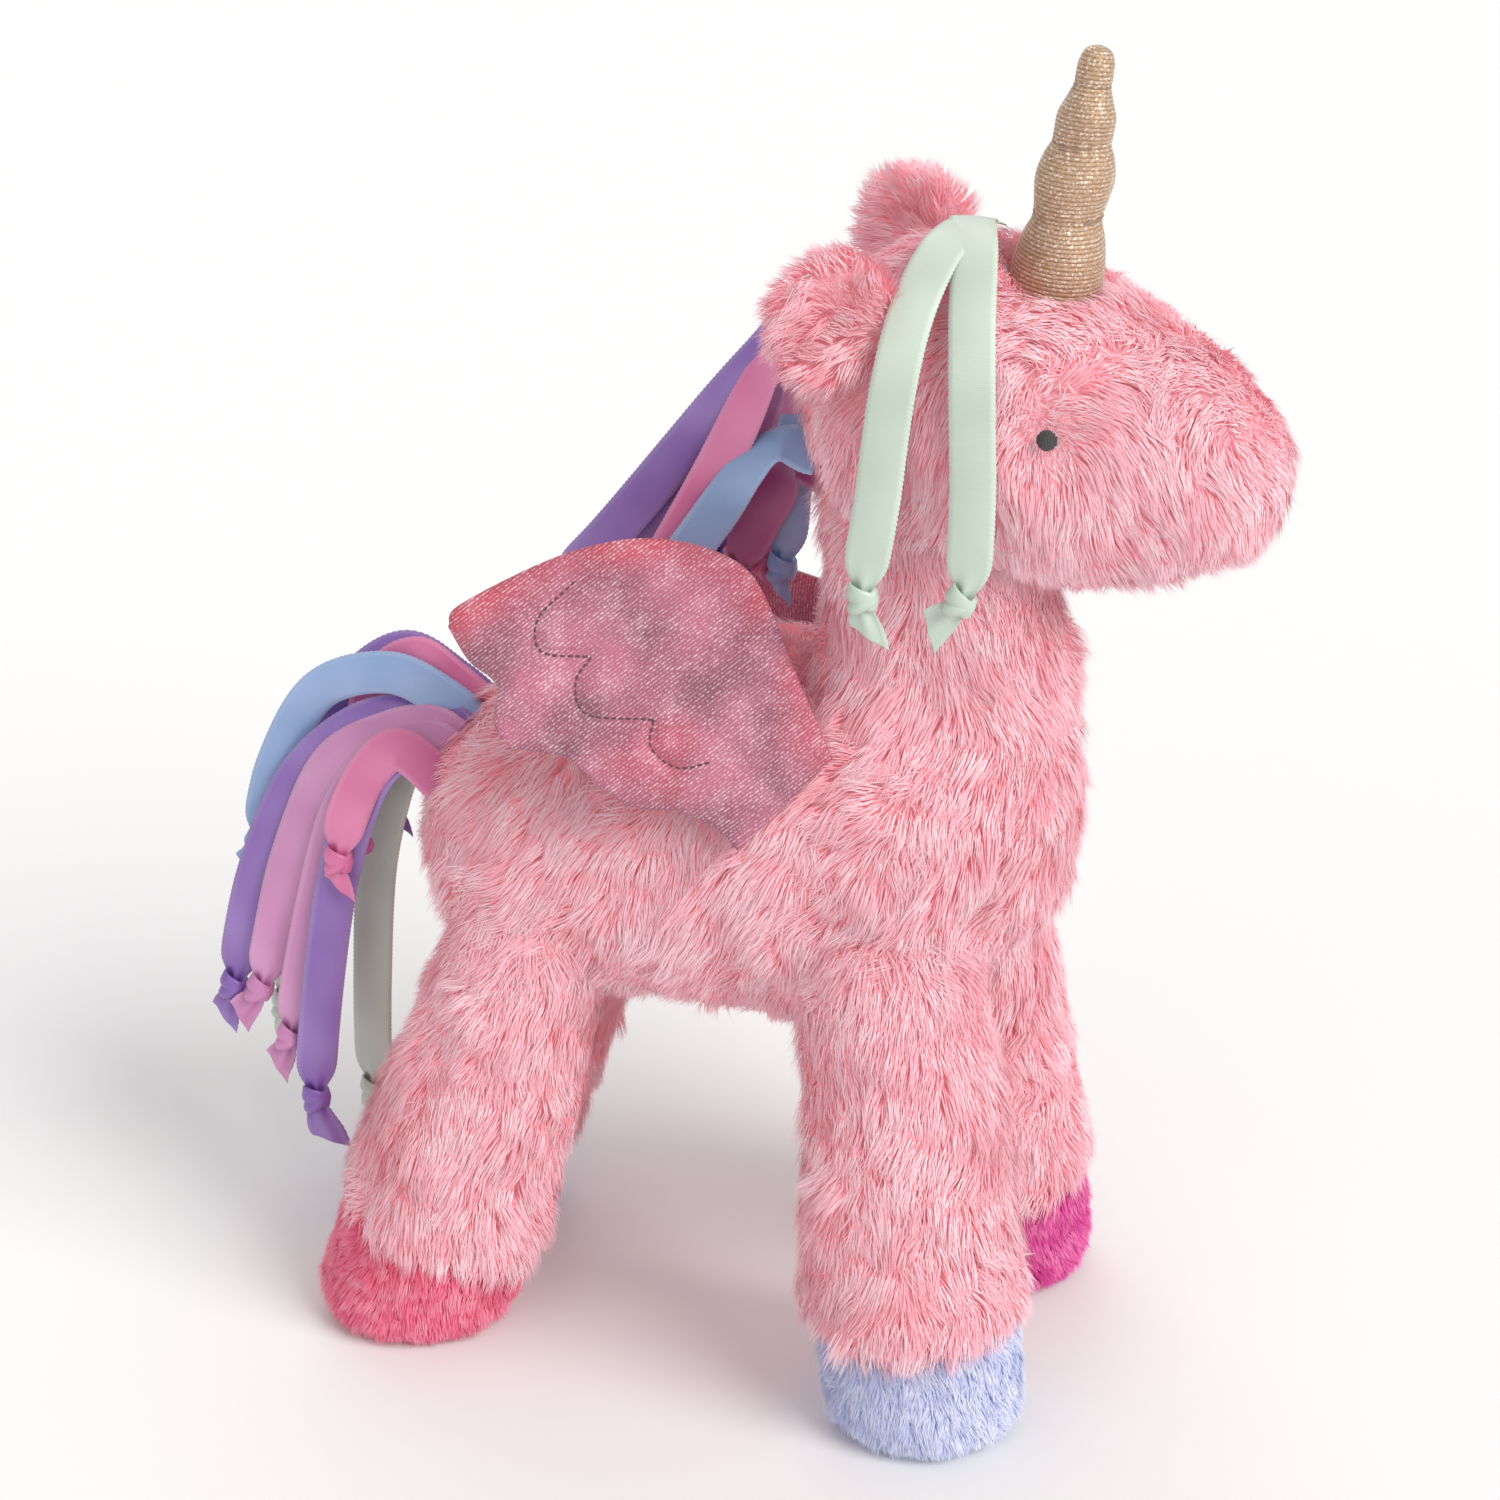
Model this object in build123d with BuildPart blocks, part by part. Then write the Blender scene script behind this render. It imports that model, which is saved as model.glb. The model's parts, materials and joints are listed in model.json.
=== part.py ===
"""Plush winged unicorn, standing. Millimetres, +X to the nose, +Y to its left, +Z up.

The origin is on the ground under the middle of the toy's overall box. Covers are hollow
shells of pile fabric, stuffings are the solids inside them, and every part that bends on
the toy turns inside a round socket with a little air around it.
"""

import os
from math import cos, radians, sin, tan

from build123d import *

os.makedirs("parts", exist_ok=True)

# ---- driving dimensions ----------------------------------------------------------------

AIR = 0.5  # gap between pieces that move against each other
INNER_GAP = 0.3  # gap between a cover and the stuffing inside it
COVER = 3.0  # thickness of the pile fabric, backing and dense part of the pile

# trunk: an upright-sectioned barrel on a line from the rump to the chest
RUMP = Vector(-36, 0, 128)
CHEST = Vector(44, 0, 146)
RUMP_RADIUS = 38.0
WAIST_RADIUS = 41.5
CHEST_RADIUS = 40.0
GUSSET_HALF_WIDTH = 13.0
GUSSET_DEPTH = 36.0
GUSSET_CENTRE = Vector(0, 0, 92)
TRUNK_SPAN = 200.0

# neck: a straight column that turns on a ball in the chest
NECK_PIVOT = Vector(50, 0, 154)
NECK_BALL = 24.0
NECK_TOP_RADIUS = 25.0
NECK_TOP = 228.0
NECK_SWING = 18.0
NECK_ROOM = 40.0

# head: a blunt cone lying along a line that falls towards the nose
SKULL = Vector(57, 0, 248)
HEAD_DROP = 13.0  # degrees below level
SKULL_RADIUS = 36.0
BROW = (31.0, 31.5)  # distance along the head, radius there
BRIDGE = (54.0, 22.8)
LIP = (68.0, 14.5)
HEAD_LENGTH = 72.4  # skull centre to nose tip
HEAD_MOUTH = 40.0  # length of the cut that takes the top of the neck
HEAD_MOUTH_FLARE = 3.0

# eyes
EYE_ALONG = 25.5
EYE_RADIUS = 2.3
EYE_THICKNESS = 1.5
EYE_ROUND = 0.9
EYE_RISE = 16.0  # degrees above the head's middle line
EYE_SEAT = 34.4  # from the head's middle line to the back of the eye

# ears: thin round lobes standing out and back from the head
EAR_ROOT = Vector(43, 28, 270)
EAR_OUT = Vector(-0.77, 0.51, 0.38)
EAR_RISE = Vector(0.28, -0.07, 0.957)
EAR_REACH = 11.5
EAR_HALF_LENGTH = 12.0
EAR_HALF_WIDTH = 13.0
EAR_LAYER = 4.2
EAR_CLEARANCE = 3.0

# horn: a stack of stuffed bulges, pinched by thread
HORN_ROOT = Vector(74, 0, 269)
HORN_LEAN = 8.5  # degrees forward
HORN_BALL = 9.5
HORN_PINCHES = [(23.5, 7.4), (39.5, 5.6), (52.5, 3.5)]  # height, radius
HORN_BULGES = [(11.0, 10.6), (31.5, 8.4), (46.0, 6.2)]
HORN_TIP = (57.5, 3.8)  # centre and radius of the round tip
HORN_SKIN = 0.8
HORN_SOCKET = 10.8  # radius of its seat in the head
HORN_FLARE = 17.0  # degrees that the seat opens, more than the horn leans
HORN_ROOM = 25.0
THREAD = 0.35
THREAD_ROOM = 0.1

# legs: hip centre, then the point where the leg's middle line meets the ground
LEG_SWING = 20.0
FRONT_LEG = {"hip": (48, 28, 112), "foot": (61, 38, 0), "ball": 20.0, "cuff": 25.0}
BACK_LEG = {"hip": (-42, 24.5, 106), "foot": (-77, 27, 0), "ball": 18.5, "cuff": 23.5}
BACK_LEFT_LEG = BACK_LEG | {"foot": (-91, 27, 0)}  # stands further back
HOOF_RADIUS = 22.5
HOOF_HEIGHT = 29.0  # along the leg's middle line
HOOF_RIM = 9.0
LEG_TAPER = 3.0
LEG_ROOM = 40.0
LEG_SIDE_ROOM = 3.0
STUFFING_SLACK = 0.4  # extra room round a leg's ball inside the stuffing

# wings, in their own flat outline: x towards the root, y up
WING_VELVET = 1.0
WING_WADDING = 3.0
WING_ROOT = (26.3, 42.6, 161.3)
WING_FACING = {"left": (0.14, 0.97, 0.11), "right": (0.22, -0.92, 0.32)}
WING_DROOP = {"left": 50.0, "right": 0.0}  # degrees that the tip hangs down
WING_ROOT_TOP = (10.5, 10.8)
WING_CROWN = [(0.5, 32.5), (-9.5, 53.0), (-29.5, 59.5), (-50.0, 56.0), (-74.0, 44.0)]
WING_TRAIL = [
    (-77.0, 38.5), (-72.5, 31.0), (-66.0, 25.5), (-66.5, 17.5), (-62.5, 11.5), (-50.0, 9.5),
    (-41.5, 2.5), (-34.0, -1.8), (-24.5, -2.2), (-15.5, -5.8), (-10.5, -10.8),
]
WING_MIDDLE = (-32.0, 26.0)
WING_WADDING_SCALE = 0.93
FEATHER_STITCH = [
    (-48.5, 49.5), (-56.5, 41.0), (-55.5, 33.5), (-44.5, 32.5), (-48.0, 26.5), (-45.0, 19.5),
    (-30.0, 18.8), (-30.5, 12.5), (-24.5, 8.0), (-15.5, 10.0),
]
STITCH_WIDTH = 0.7
STITCH_HEIGHT = 0.4

# ribbons: colour, y of its plane, then its middle line as x and z, root to end
RIBBON_WIDTH = 10.0
RIBBON_THICK = 0.8
KNOT_RADIUS = 3.8
KNOT_THICK = 2.4
FORELOCK_FOLD = (55, -4, 288)
FORELOCK_REACH = 37.0
FORELOCK_DROP = 84.0
FORELOCK_LEANS = (7.0, -10.0)
MANE = [
    ("purple", -6.0, [(21.5, 272), (8, 253), (-11, 228), (-29, 205), (-41, 192), (-47, 186)]),
    ("purple", -3.0, [(20, 266), (5, 243), (-10, 221), (-24, 203), (-33, 192), (-39, 185)]),
    ("hot_pink", -8.5, [(19, 266), (11, 252), (0, 228), (-12, 205), (-19, 192), (-24, 185)]),
    ("orchid", 0.0, [(15, 257), (8, 240), (-1, 220), (-9, 204), (-15, 193), (-19, 186)]),
    ("light_blue", -11.0, [(16, 236), (8, 229), (0, 217), (-8, 205), (-14, 196), (-18, 188)]),
    ("magenta", 3.0, [(15, 226), (9, 216), (3, 204), (0, 195), (-1, 190)]),
    ("light_blue", 6.0, [(15, 236), (13, 222), (12, 208), (11, 199), (10, 192)]),
    ("hot_pink", 9.0, [(14, 243), (8, 228), (5, 213), (5, 201), (6, 193)]),
    ("purple", 12.0, [(14, 250), (2, 231), (-4, 213), (-8, 199), (-10, 190)]),
]
TAIL = [
    ("hot_pink", 3.0, [(-72, 160), (-81, 165), (-91, 157), (-96, 138), (-95, 116), (-94, 104)]),
    ("purple", 6.0, [(-72, 159), (-85, 165), (-99, 154), (-108, 135), (-110, 115), (-109, 104)]),
    ("light_blue", -3.0, [(-72, 158), (-86, 163), (-104, 156), (-116, 135), (-122, 113), (-126, 104)]),
    ("light_blue", 9.0, [(-72, 156), (-85, 158), (-98, 148), (-106, 129), (-108, 111), (-107, 101)]),
    ("purple", -6.0, [(-72, 154), (-91, 151), (-109, 134), (-121, 106), (-128, 76), (-131, 65)]),
    ("orchid", -9.0, [(-72, 153), (-85, 150), (-100, 139), (-111, 112), (-119, 79), (-126, 67)]),
    ("orchid", -12.0, [(-72, 151), (-85, 145), (-95, 130), (-103, 102), (-111, 66), (-115, 56)]),
    ("purple", -15.0, [(-74, 148), (-85, 141), (-94, 119), (-100, 88), (-104, 51), (-100, 38)]),
    ("mint", 12.0, [(-72, 151), (-91, 144), (-106, 121), (-115, 90), (-122, 62), (-120, 50)]),
    ("hot_pink", -18.0, [(-77, 150), (-85, 144), (-91, 132), (-94, 120), (-94, 111)]),
    ("purple", 15.0, [(-75, 148), (-85, 143), (-91, 133), (-93, 122), (-92, 113)]),
    ("mint", 0.0, [(-76, 147), (-84, 137), (-92, 110), (-95, 76), (-96, 44), (-96, 35)]),
]
BOX_MIDDLE = Vector(-3.583, 0, 0)  # middle of the toy's overall box in the lengths above


def write(name, builder):
    """Put a finished piece over the box's middle, label it and write it to its own file."""
    piece = builder.part.moved(Location(BOX_MIDDLE * -1))
    piece.label = name
    export_step(piece, f"parts/{name}.step")


# ---- shapes shared by several pieces ---------------------------------------------------

TRUNK_LINE = (CHEST - RUMP).normalized()
TRUNK_LENGTH = (CHEST - RUMP).length
TRUNK_PLANE = Plane(origin=RUMP, x_dir=TRUNK_LINE, z_dir=Vector(0, -1, 0))
HEAD_LINE = Vector(cos(radians(HEAD_DROP)), 0, -sin(radians(HEAD_DROP)))
HEAD_PLANE = Plane(origin=SKULL, x_dir=HEAD_LINE, z_dir=Vector(0, -1, 0))
HORN_LINE = Vector(sin(radians(HORN_LEAN)), 0, cos(radians(HORN_LEAN)))
HORN_PLANE = Plane(origin=HORN_ROOT, x_dir=HORN_LINE, z_dir=Vector(0, -1, 0))


def trunk_form(inset, mode=Mode.ADD):
    """The trunk's round barrel, shrunk all over by inset."""
    rump = RUMP_RADIUS - inset
    waist = WAIST_RADIUS - inset
    chest = CHEST_RADIUS - inset
    with BuildSketch(TRUNK_PLANE) as profile:
        with BuildLine():
            CenterArc((0, 0), rump, 90, 90)
            ThreePointArc((0, rump), (TRUNK_LENGTH / 2, waist), (TRUNK_LENGTH, chest))
            CenterArc((TRUNK_LENGTH, 0), chest, 0, 90)
            Line((TRUNK_LENGTH + chest, 0), (-rump, 0))
        make_face()
    revolve(profile.sketch, Axis(RUMP, TRUNK_LINE), mode=mode)


def head_form(inset, mode=Mode.ADD):
    """The head's blunt cone, shrunk all over by inset."""
    skull = SKULL_RADIUS - inset
    nose = HEAD_LENGTH - inset
    with BuildSketch(HEAD_PLANE) as profile:
        with BuildLine():
            CenterArc((0, 0), skull, 90, 90)
            Spline(
                (0, skull),
                (BROW[0], BROW[1] - inset),
                (BRIDGE[0], BRIDGE[1] - inset),
                (LIP[0] - inset / 2, LIP[1] - inset),
                (nose, 0),
                tangents=[(1, 0), (0, -1)],
            )
            Line((nose, 0), (-skull, 0))
        make_face()
    revolve(profile.sketch, Axis(SKULL, HEAD_LINE), mode=mode)


def across(line):
    """The direction nearest to the toy's right that is square to the given line."""
    return (line.cross(Vector(0, 1, 0)).cross(line) * -1).normalized()


def socket(centre, line, radius, flare, reach):
    """Cut room for a ball-ended column: a ball, then a cone that opens by flare degrees."""
    lean = radians(flare)
    rim = (reach, radius / cos(lean) + reach * tan(lean))
    with BuildSketch(Plane(origin=centre, x_dir=line, z_dir=across(line))) as profile:
        with BuildLine():
            CenterArc((0, 0), radius, 90 + flare, 90 - flare)
            Polyline((-radius * sin(lean), radius * cos(lean)), rim, (reach, 0), (-radius, 0))
        make_face()
    revolve(profile.sketch, Axis(centre, line), mode=Mode.SUBTRACT)


class Leg:
    """Places and shapes of one leg, on the left or the right."""

    def __init__(self, dims, hand):
        self.hip = Vector(dims["hip"][0], dims["hip"][1] * hand, dims["hip"][2])
        self.foot = Vector(dims["foot"][0], dims["foot"][1] * hand, 0)
        self.ball = dims["ball"]
        self.cuff = dims["cuff"]
        self.line = (self.foot - self.hip).normalized()
        self.plane = Plane(origin=self.hip, x_dir=self.line, z_dir=across(self.line))
        self.length = (self.foot - self.hip).length
        self.cuff_end = self.length - HOOF_HEIGHT

    def tube(self, inset, mode=Mode.ADD):
        """The leg from its round hip down to the cuff, shrunk all over by inset."""
        ball = self.ball - inset
        cuff = self.cuff - inset
        low = self.cuff_end - inset
        with BuildSketch(self.plane) as profile:
            with BuildLine():
                CenterArc((0, 0), ball, 90, 90)
                Polyline((0, ball), (low, cuff), (low, 0), (-ball, 0))
            make_face()
        revolve(profile.sketch, Axis(self.hip, self.line), mode=mode)

    def hoof(self, inset):
        """The hoof's round cup below the cuff, flat underneath with a rounded rim."""
        radius = HOOF_RADIUS - inset
        start = self.cuff_end + INNER_GAP + inset
        end = self.length + HOOF_RADIUS
        with BuildSketch(self.plane) as profile:
            with BuildLine():
                Polyline((start, 0), (start, radius), (end, radius), (end, 0), close=True)
            make_face()
        revolve(profile.sketch, Axis(self.hip, self.line))
        split(bisect_by=Plane.XY.offset(inset), keep=Keep.TOP)
        sole = faces().sort_by(Axis.Z)[0]
        fillet(sole.edges(), HOOF_RIM - inset / 2)

    def swing_room(self, slack):
        """Cut the space that the top of the leg sweeps through, with slack round its ball."""
        side_room = self.ball + LEG_SIDE_ROOM
        radius = self.ball + AIR
        lean = radians(LEG_SWING + LEG_TAPER)
        low = (LEG_ROOM, radius / cos(lean) + LEG_ROOM * tan(lean))
        high = (-radius * sin(lean), radius * cos(lean))
        with Locations(self.hip):
            Sphere(radius + slack, mode=Mode.SUBTRACT)
        with BuildSketch(self.plane) as profile:
            with BuildLine():
                Polyline((0, 0), high, low, (low[0], -low[1]), (high[0], -high[1]), close=True)
            make_face()
        extrude(profile.sketch, amount=side_room, both=True, mode=Mode.SUBTRACT)


LEGS = {
    "front_left": Leg(FRONT_LEG, 1),
    "front_right": Leg(FRONT_LEG, -1),
    "back_left": Leg(BACK_LEFT_LEG, 1),
    "back_right": Leg(BACK_LEG, -1),
}
SIDES = {"left": 1, "right": -1}


def halve(side):
    """Keep the left or the right half of the piece being made."""
    keep = Keep.BOTTOM if side == "left" else Keep.TOP
    split(bisect_by=Plane.XZ, keep=keep)


# ---- trunk -----------------------------------------------------------------------------

def trunk_cover():
    """The whole trunk cover with its openings for the hips and the neck."""
    trunk_form(0)
    trunk_form(COVER, Mode.SUBTRACT)
    open_trunk(0)


def open_trunk(slack):
    """Cut the room for the four legs and for the neck."""
    for leg in LEGS.values():
        leg.swing_room(slack)
    socket(NECK_PIVOT, Vector(0, 0, 1), NECK_BALL + AIR, NECK_SWING, NECK_ROOM)


for side in SIDES:
    with BuildPart() as body_panel:
        trunk_cover()
        halve(side)
        with Locations(GUSSET_CENTRE):
            Box(TRUNK_SPAN, 2 * GUSSET_HALF_WIDTH, GUSSET_DEPTH, mode=Mode.SUBTRACT)
    write(f"body_panel_{side}", body_panel)

with BuildPart() as belly_gusset:
    trunk_cover()
    with Locations(GUSSET_CENTRE):
        Box(TRUNK_SPAN, 2 * GUSSET_HALF_WIDTH, GUSSET_DEPTH, mode=Mode.INTERSECT)
write("belly_gusset", belly_gusset)

with BuildPart() as body_stuffing:
    trunk_form(COVER + INNER_GAP)
    open_trunk(STUFFING_SLACK)
write("body_stuffing", body_stuffing)


# ---- neck ------------------------------------------------------------------------------

def neck_form(inset, mode=Mode.ADD):
    """The neck column, round at the chest end, shrunk all over by inset."""
    ball = NECK_BALL - inset
    top = NECK_TOP - NECK_PIVOT.Z - inset
    with BuildSketch(Plane(origin=NECK_PIVOT, x_dir=(0, 0, 1), z_dir=(0, -1, 0))) as profile:
        with BuildLine():
            CenterArc((0, 0), ball, 90, 90)
            Polyline((0, ball), (top, NECK_TOP_RADIUS - inset), (top, 0), (-ball, 0))
        make_face()
    revolve(profile.sketch, Axis(NECK_PIVOT, (0, 0, 1)), mode=mode)


for side in SIDES:
    with BuildPart() as neck_panel:
        neck_form(0)
        neck_form(COVER, Mode.SUBTRACT)
        halve(side)
    write(f"neck_panel_{side}", neck_panel)

with BuildPart() as neck_stuffing:
    neck_form(COVER + INNER_GAP)
write("neck_stuffing", neck_stuffing)


# ---- head ------------------------------------------------------------------------------

def open_head():
    """Cut the room for the top of the neck and for the root of the horn."""
    top = NECK_TOP_RADIUS + AIR
    with Locations((NECK_PIVOT.X, 0, NECK_TOP + AIR - HEAD_MOUTH / 2)):
        Cone(top + HEAD_MOUTH_FLARE, top, HEAD_MOUTH, mode=Mode.SUBTRACT)
    socket(HORN_ROOT, HORN_LINE, HORN_SOCKET, HORN_FLARE, HORN_ROOM)


for side in SIDES:
    with BuildPart() as head_panel:
        head_form(0)
        head_form(COVER, Mode.SUBTRACT)
        open_head()
        halve(side)
    write(f"head_panel_{side}", head_panel)

with BuildPart() as head_stuffing:
    head_form(COVER + INNER_GAP)
    open_head()
write("head_stuffing", head_stuffing)

for side, hand in SIDES.items():
    rise = radians(EYE_RISE)
    out = Vector(0, hand * cos(rise), sin(rise))
    middle = SKULL + HEAD_LINE * EYE_ALONG
    with BuildPart() as eye:
        with BuildSketch(Plane(origin=middle + out * EYE_SEAT, z_dir=out)):
            Circle(EYE_RADIUS)
        extrude(amount=EYE_THICKNESS)
        fillet(eye.faces().sort_by(Axis(middle, out))[-1].edges(), EYE_ROUND)
    write(f"eye_{side}", eye)

for side, hand in SIDES.items():
    root = Vector(EAR_ROOT.X, EAR_ROOT.Y * hand, EAR_ROOT.Z)
    reach = Vector(EAR_OUT.X, EAR_OUT.Y * hand, EAR_OUT.Z).normalized()
    rise = Vector(EAR_RISE.X, EAR_RISE.Y * hand, EAR_RISE.Z)
    face = reach.cross(rise).normalized()
    forward = face if face.X > 0 else face * -1
    for name, start in (("inner", 0), ("outer", -EAR_LAYER)):
        with BuildPart() as ear:
            with BuildSketch(Plane(origin=root + forward * start, x_dir=reach, z_dir=forward)):
                with Locations((EAR_REACH, 0)):
                    Ellipse(EAR_HALF_LENGTH, EAR_HALF_WIDTH)
            extrude(amount=EAR_LAYER - INNER_GAP / 2)
            with Locations(SKULL):
                Sphere(SKULL_RADIUS + EAR_CLEARANCE, mode=Mode.SUBTRACT)
        write(f"ear_{side}_{name}", ear)


# ---- horn ------------------------------------------------------------------------------

def horn_form(inset, mode=Mode.ADD):
    """The stack of bulges on its round root, shrunk all over by inset."""
    ball = HORN_BALL - inset
    tip = HORN_TIP[1] - inset
    ends = [(0, HORN_BALL)] + HORN_PINCHES
    with BuildSketch(HORN_PLANE) as profile:
        with BuildLine():
            CenterArc((0, 0), ball, 90, 90)
            for low, bulge, high in zip(ends, HORN_BULGES, HORN_PINCHES):
                ThreePointArc(
                    (low[0], low[1] - inset), (bulge[0], bulge[1] - inset), (high[0], high[1] - inset)
                )
            Line((ends[-1][0], ends[-1][1] - inset), (HORN_TIP[0], tip))
            CenterArc((HORN_TIP[0], 0), tip, 0, 90)
            Line((HORN_TIP[0] + tip, 0), (-ball, 0))
        make_face()
    revolve(profile.sketch, Axis(HORN_ROOT, HORN_LINE), mode=mode)


def horn_thread_rings(radius, mode):
    """A ring of thread in each pinch of the horn."""
    with BuildSketch(HORN_PLANE) as profile:
        for height, pinch in HORN_PINCHES:
            with Locations((height, pinch + THREAD / 2)):
                Circle(radius)
    revolve(profile.sketch, Axis(HORN_ROOT, HORN_LINE), mode=mode)


with BuildPart() as horn_cover:
    horn_form(0)
    horn_form(HORN_SKIN, Mode.SUBTRACT)
    horn_thread_rings(THREAD + THREAD_ROOM, Mode.SUBTRACT)
write("horn_cover", horn_cover)

with BuildPart() as horn_stuffing:
    horn_form(HORN_SKIN + INNER_GAP)
write("horn_stuffing", horn_stuffing)

with BuildPart() as horn_thread:
    horn_thread_rings(THREAD, Mode.ADD)
write("horn_thread", horn_thread)


# ---- legs and hooves -------------------------------------------------------------------

for corner, leg in LEGS.items():
    with BuildPart() as leg_cover:
        leg.tube(0)
        leg.tube(COVER, Mode.SUBTRACT)
    write(f"leg_{corner}_cover", leg_cover)

    with BuildPart() as leg_stuffing:
        leg.tube(COVER + INNER_GAP)
    write(f"leg_{corner}_stuffing", leg_stuffing)

    with BuildPart() as hoof_core:
        leg.hoof(COVER)

    with BuildPart() as hoof_cover:
        leg.hoof(0)
        add(hoof_core.part, mode=Mode.SUBTRACT)
    write(f"hoof_{corner}_cover", hoof_cover)

    with BuildPart() as hoof_stuffing:
        leg.hoof(COVER + INNER_GAP)
    write(f"hoof_{corner}_stuffing", hoof_stuffing)


# ---- wings -----------------------------------------------------------------------------

def wing_outline(hand, scale):
    """The wing's edge: a smooth crown, a scalloped trailing edge and a straight root."""
    def place(point):
        x = WING_MIDDLE[0] + (point[0] - WING_MIDDLE[0]) * scale
        y = WING_MIDDLE[1] + (point[1] - WING_MIDDLE[1]) * scale
        return (x, -y * hand)

    with BuildLine() as edge:
        Spline(*[place(p) for p in [WING_ROOT_TOP] + WING_CROWN + [WING_TRAIL[0]]])
        Spline(*[place(p) for p in WING_TRAIL])
        Line(place(WING_TRAIL[-1]), place(WING_ROOT_TOP))
    make_face(edge.edges())


def wing_plane(side):
    """The wing's flat middle plane, with x towards the root."""
    outward = Vector(*WING_FACING[side]).normalized()
    level = Vector(0, 0, 1).cross(outward).normalized() * -SIDES[side]
    upright = outward.cross(level) * -SIDES[side]
    droop = radians(WING_DROOP[side])
    x_dir = level * cos(droop) + upright * sin(droop)
    origin = Vector(WING_ROOT[0], WING_ROOT[1] * SIDES[side], WING_ROOT[2])
    return Plane(origin=origin, x_dir=x_dir, z_dir=outward)


for side, hand in SIDES.items():
    plane = wing_plane(side)
    half = WING_WADDING / 2
    layers = {
        "front_velvet": (half + WING_VELVET, WING_VELVET, 1.0),
        "wadding": (half - INNER_GAP / 2, WING_WADDING - INNER_GAP, WING_WADDING_SCALE),
        "back_velvet": (-half, WING_VELVET, 1.0),
    }
    for name, (top, thickness, scale) in layers.items():
        with BuildPart() as wing_layer:
            with BuildSketch(plane.offset(top)):
                wing_outline(hand, scale)
            extrude(amount=-thickness)
        write(f"wing_{side}_{name}", wing_layer)

    with BuildPart() as wing_stitching:
        with BuildSketch(plane.offset(half + WING_VELVET)):
            with BuildLine():
                for first in range(0, len(FEATHER_STITCH) - 2, 3):
                    scallop = FEATHER_STITCH[first:first + 4]
                    Spline(*[(x, -y * hand) for x, y in scallop])
            trace(line_width=STITCH_WIDTH)
        extrude(amount=STITCH_HEIGHT)
    write(f"wing_{side}_stitching", wing_stitching)


# ---- ribbons ---------------------------------------------------------------------------

def flat_ribbon(y, route):
    """One ribbon lying flat in an upright plane at y, knotted at the last point but one."""
    with BuildSketch(Plane.XZ.offset(-y)) as band:
        with BuildLine():
            Spline(*route)
        trace(line_width=RIBBON_WIDTH)
    extrude(band.sketch, amount=RIBBON_THICK / 2, both=True)
    with BuildSketch(Plane.XZ.offset(-y)) as knot:
        with Locations(route[-2]):
            Circle(KNOT_RADIUS)
    extrude(knot.sketch, amount=KNOT_THICK / 2, both=True)


for bundle, ribbons in (("mane", MANE), ("tail", TAIL)):
    for colour in sorted({ribbon[0] for ribbon in ribbons}):
        with BuildPart() as ribbon_group:
            for name, y, route in ribbons:
                if name == colour:
                    flat_ribbon(y, route)
        write(f"{bundle}_ribbons_{colour}", ribbon_group)

with BuildPart() as forelock_ribbon:
    for lean in FORELOCK_LEANS:
        tilt = radians(lean)
        plane = Plane(origin=FORELOCK_FOLD, x_dir=(0, -1, 0), z_dir=(-cos(tilt), 0, -sin(tilt)))
        with BuildSketch(plane):
            with BuildLine():
                CenterArc((0, -FORELOCK_REACH), FORELOCK_REACH, 0, 90)
                Line((FORELOCK_REACH, -FORELOCK_REACH), (FORELOCK_REACH, -FORELOCK_DROP))
            trace(line_width=RIBBON_THICK)
        extrude(amount=RIBBON_WIDTH / 2, both=True)
        with BuildSketch(plane):
            with Locations((FORELOCK_REACH, KNOT_RADIUS * 2 - FORELOCK_DROP)):
                Circle(KNOT_THICK / 2)
        extrude(amount=KNOT_RADIUS, both=True)
write("forelock_ribbon", forelock_ribbon)
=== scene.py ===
"""Looks of a stuffed plush unicorn: skins and long pile, satin ribbons, velvet wings, knit horn.

Lengths in this script are millimetres, in the frame's axes: x to the nose, y to the toy's
left, z up. A mesh is scaled to metres when its object is made.
"""
import json
from dataclasses import dataclass
from math import cos, pi, radians, sin, tau

import bmesh
import bpy
import numpy as np
from mathutils import Matrix, Vector
from mathutils.bvhtree import BVHTree
from mathutils.geometry import delaunay_2d_cdt
from mathutils.kdtree import KDTree


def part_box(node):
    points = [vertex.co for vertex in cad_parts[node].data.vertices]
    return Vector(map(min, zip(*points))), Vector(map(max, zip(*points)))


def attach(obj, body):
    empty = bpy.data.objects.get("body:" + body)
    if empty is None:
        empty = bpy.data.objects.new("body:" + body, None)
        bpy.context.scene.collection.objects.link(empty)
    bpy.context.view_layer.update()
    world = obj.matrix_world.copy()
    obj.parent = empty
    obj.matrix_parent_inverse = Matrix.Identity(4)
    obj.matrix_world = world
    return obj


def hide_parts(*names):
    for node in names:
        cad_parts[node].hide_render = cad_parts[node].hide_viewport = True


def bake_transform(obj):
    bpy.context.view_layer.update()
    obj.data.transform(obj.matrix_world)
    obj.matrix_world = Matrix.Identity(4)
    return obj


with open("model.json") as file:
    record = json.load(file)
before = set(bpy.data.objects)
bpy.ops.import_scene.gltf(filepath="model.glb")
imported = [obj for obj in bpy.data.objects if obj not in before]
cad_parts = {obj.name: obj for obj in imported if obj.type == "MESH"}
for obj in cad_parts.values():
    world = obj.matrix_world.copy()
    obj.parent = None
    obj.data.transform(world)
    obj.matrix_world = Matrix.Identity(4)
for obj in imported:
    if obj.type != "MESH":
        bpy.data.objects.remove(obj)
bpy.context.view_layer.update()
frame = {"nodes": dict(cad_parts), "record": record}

MM = 0.001
UP = np.array([0.0, 0.0, 1.0])
SIDES = {"left": 1, "right": -1}
CORNERS = ("front_left", "front_right", "back_left", "back_right")
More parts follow.
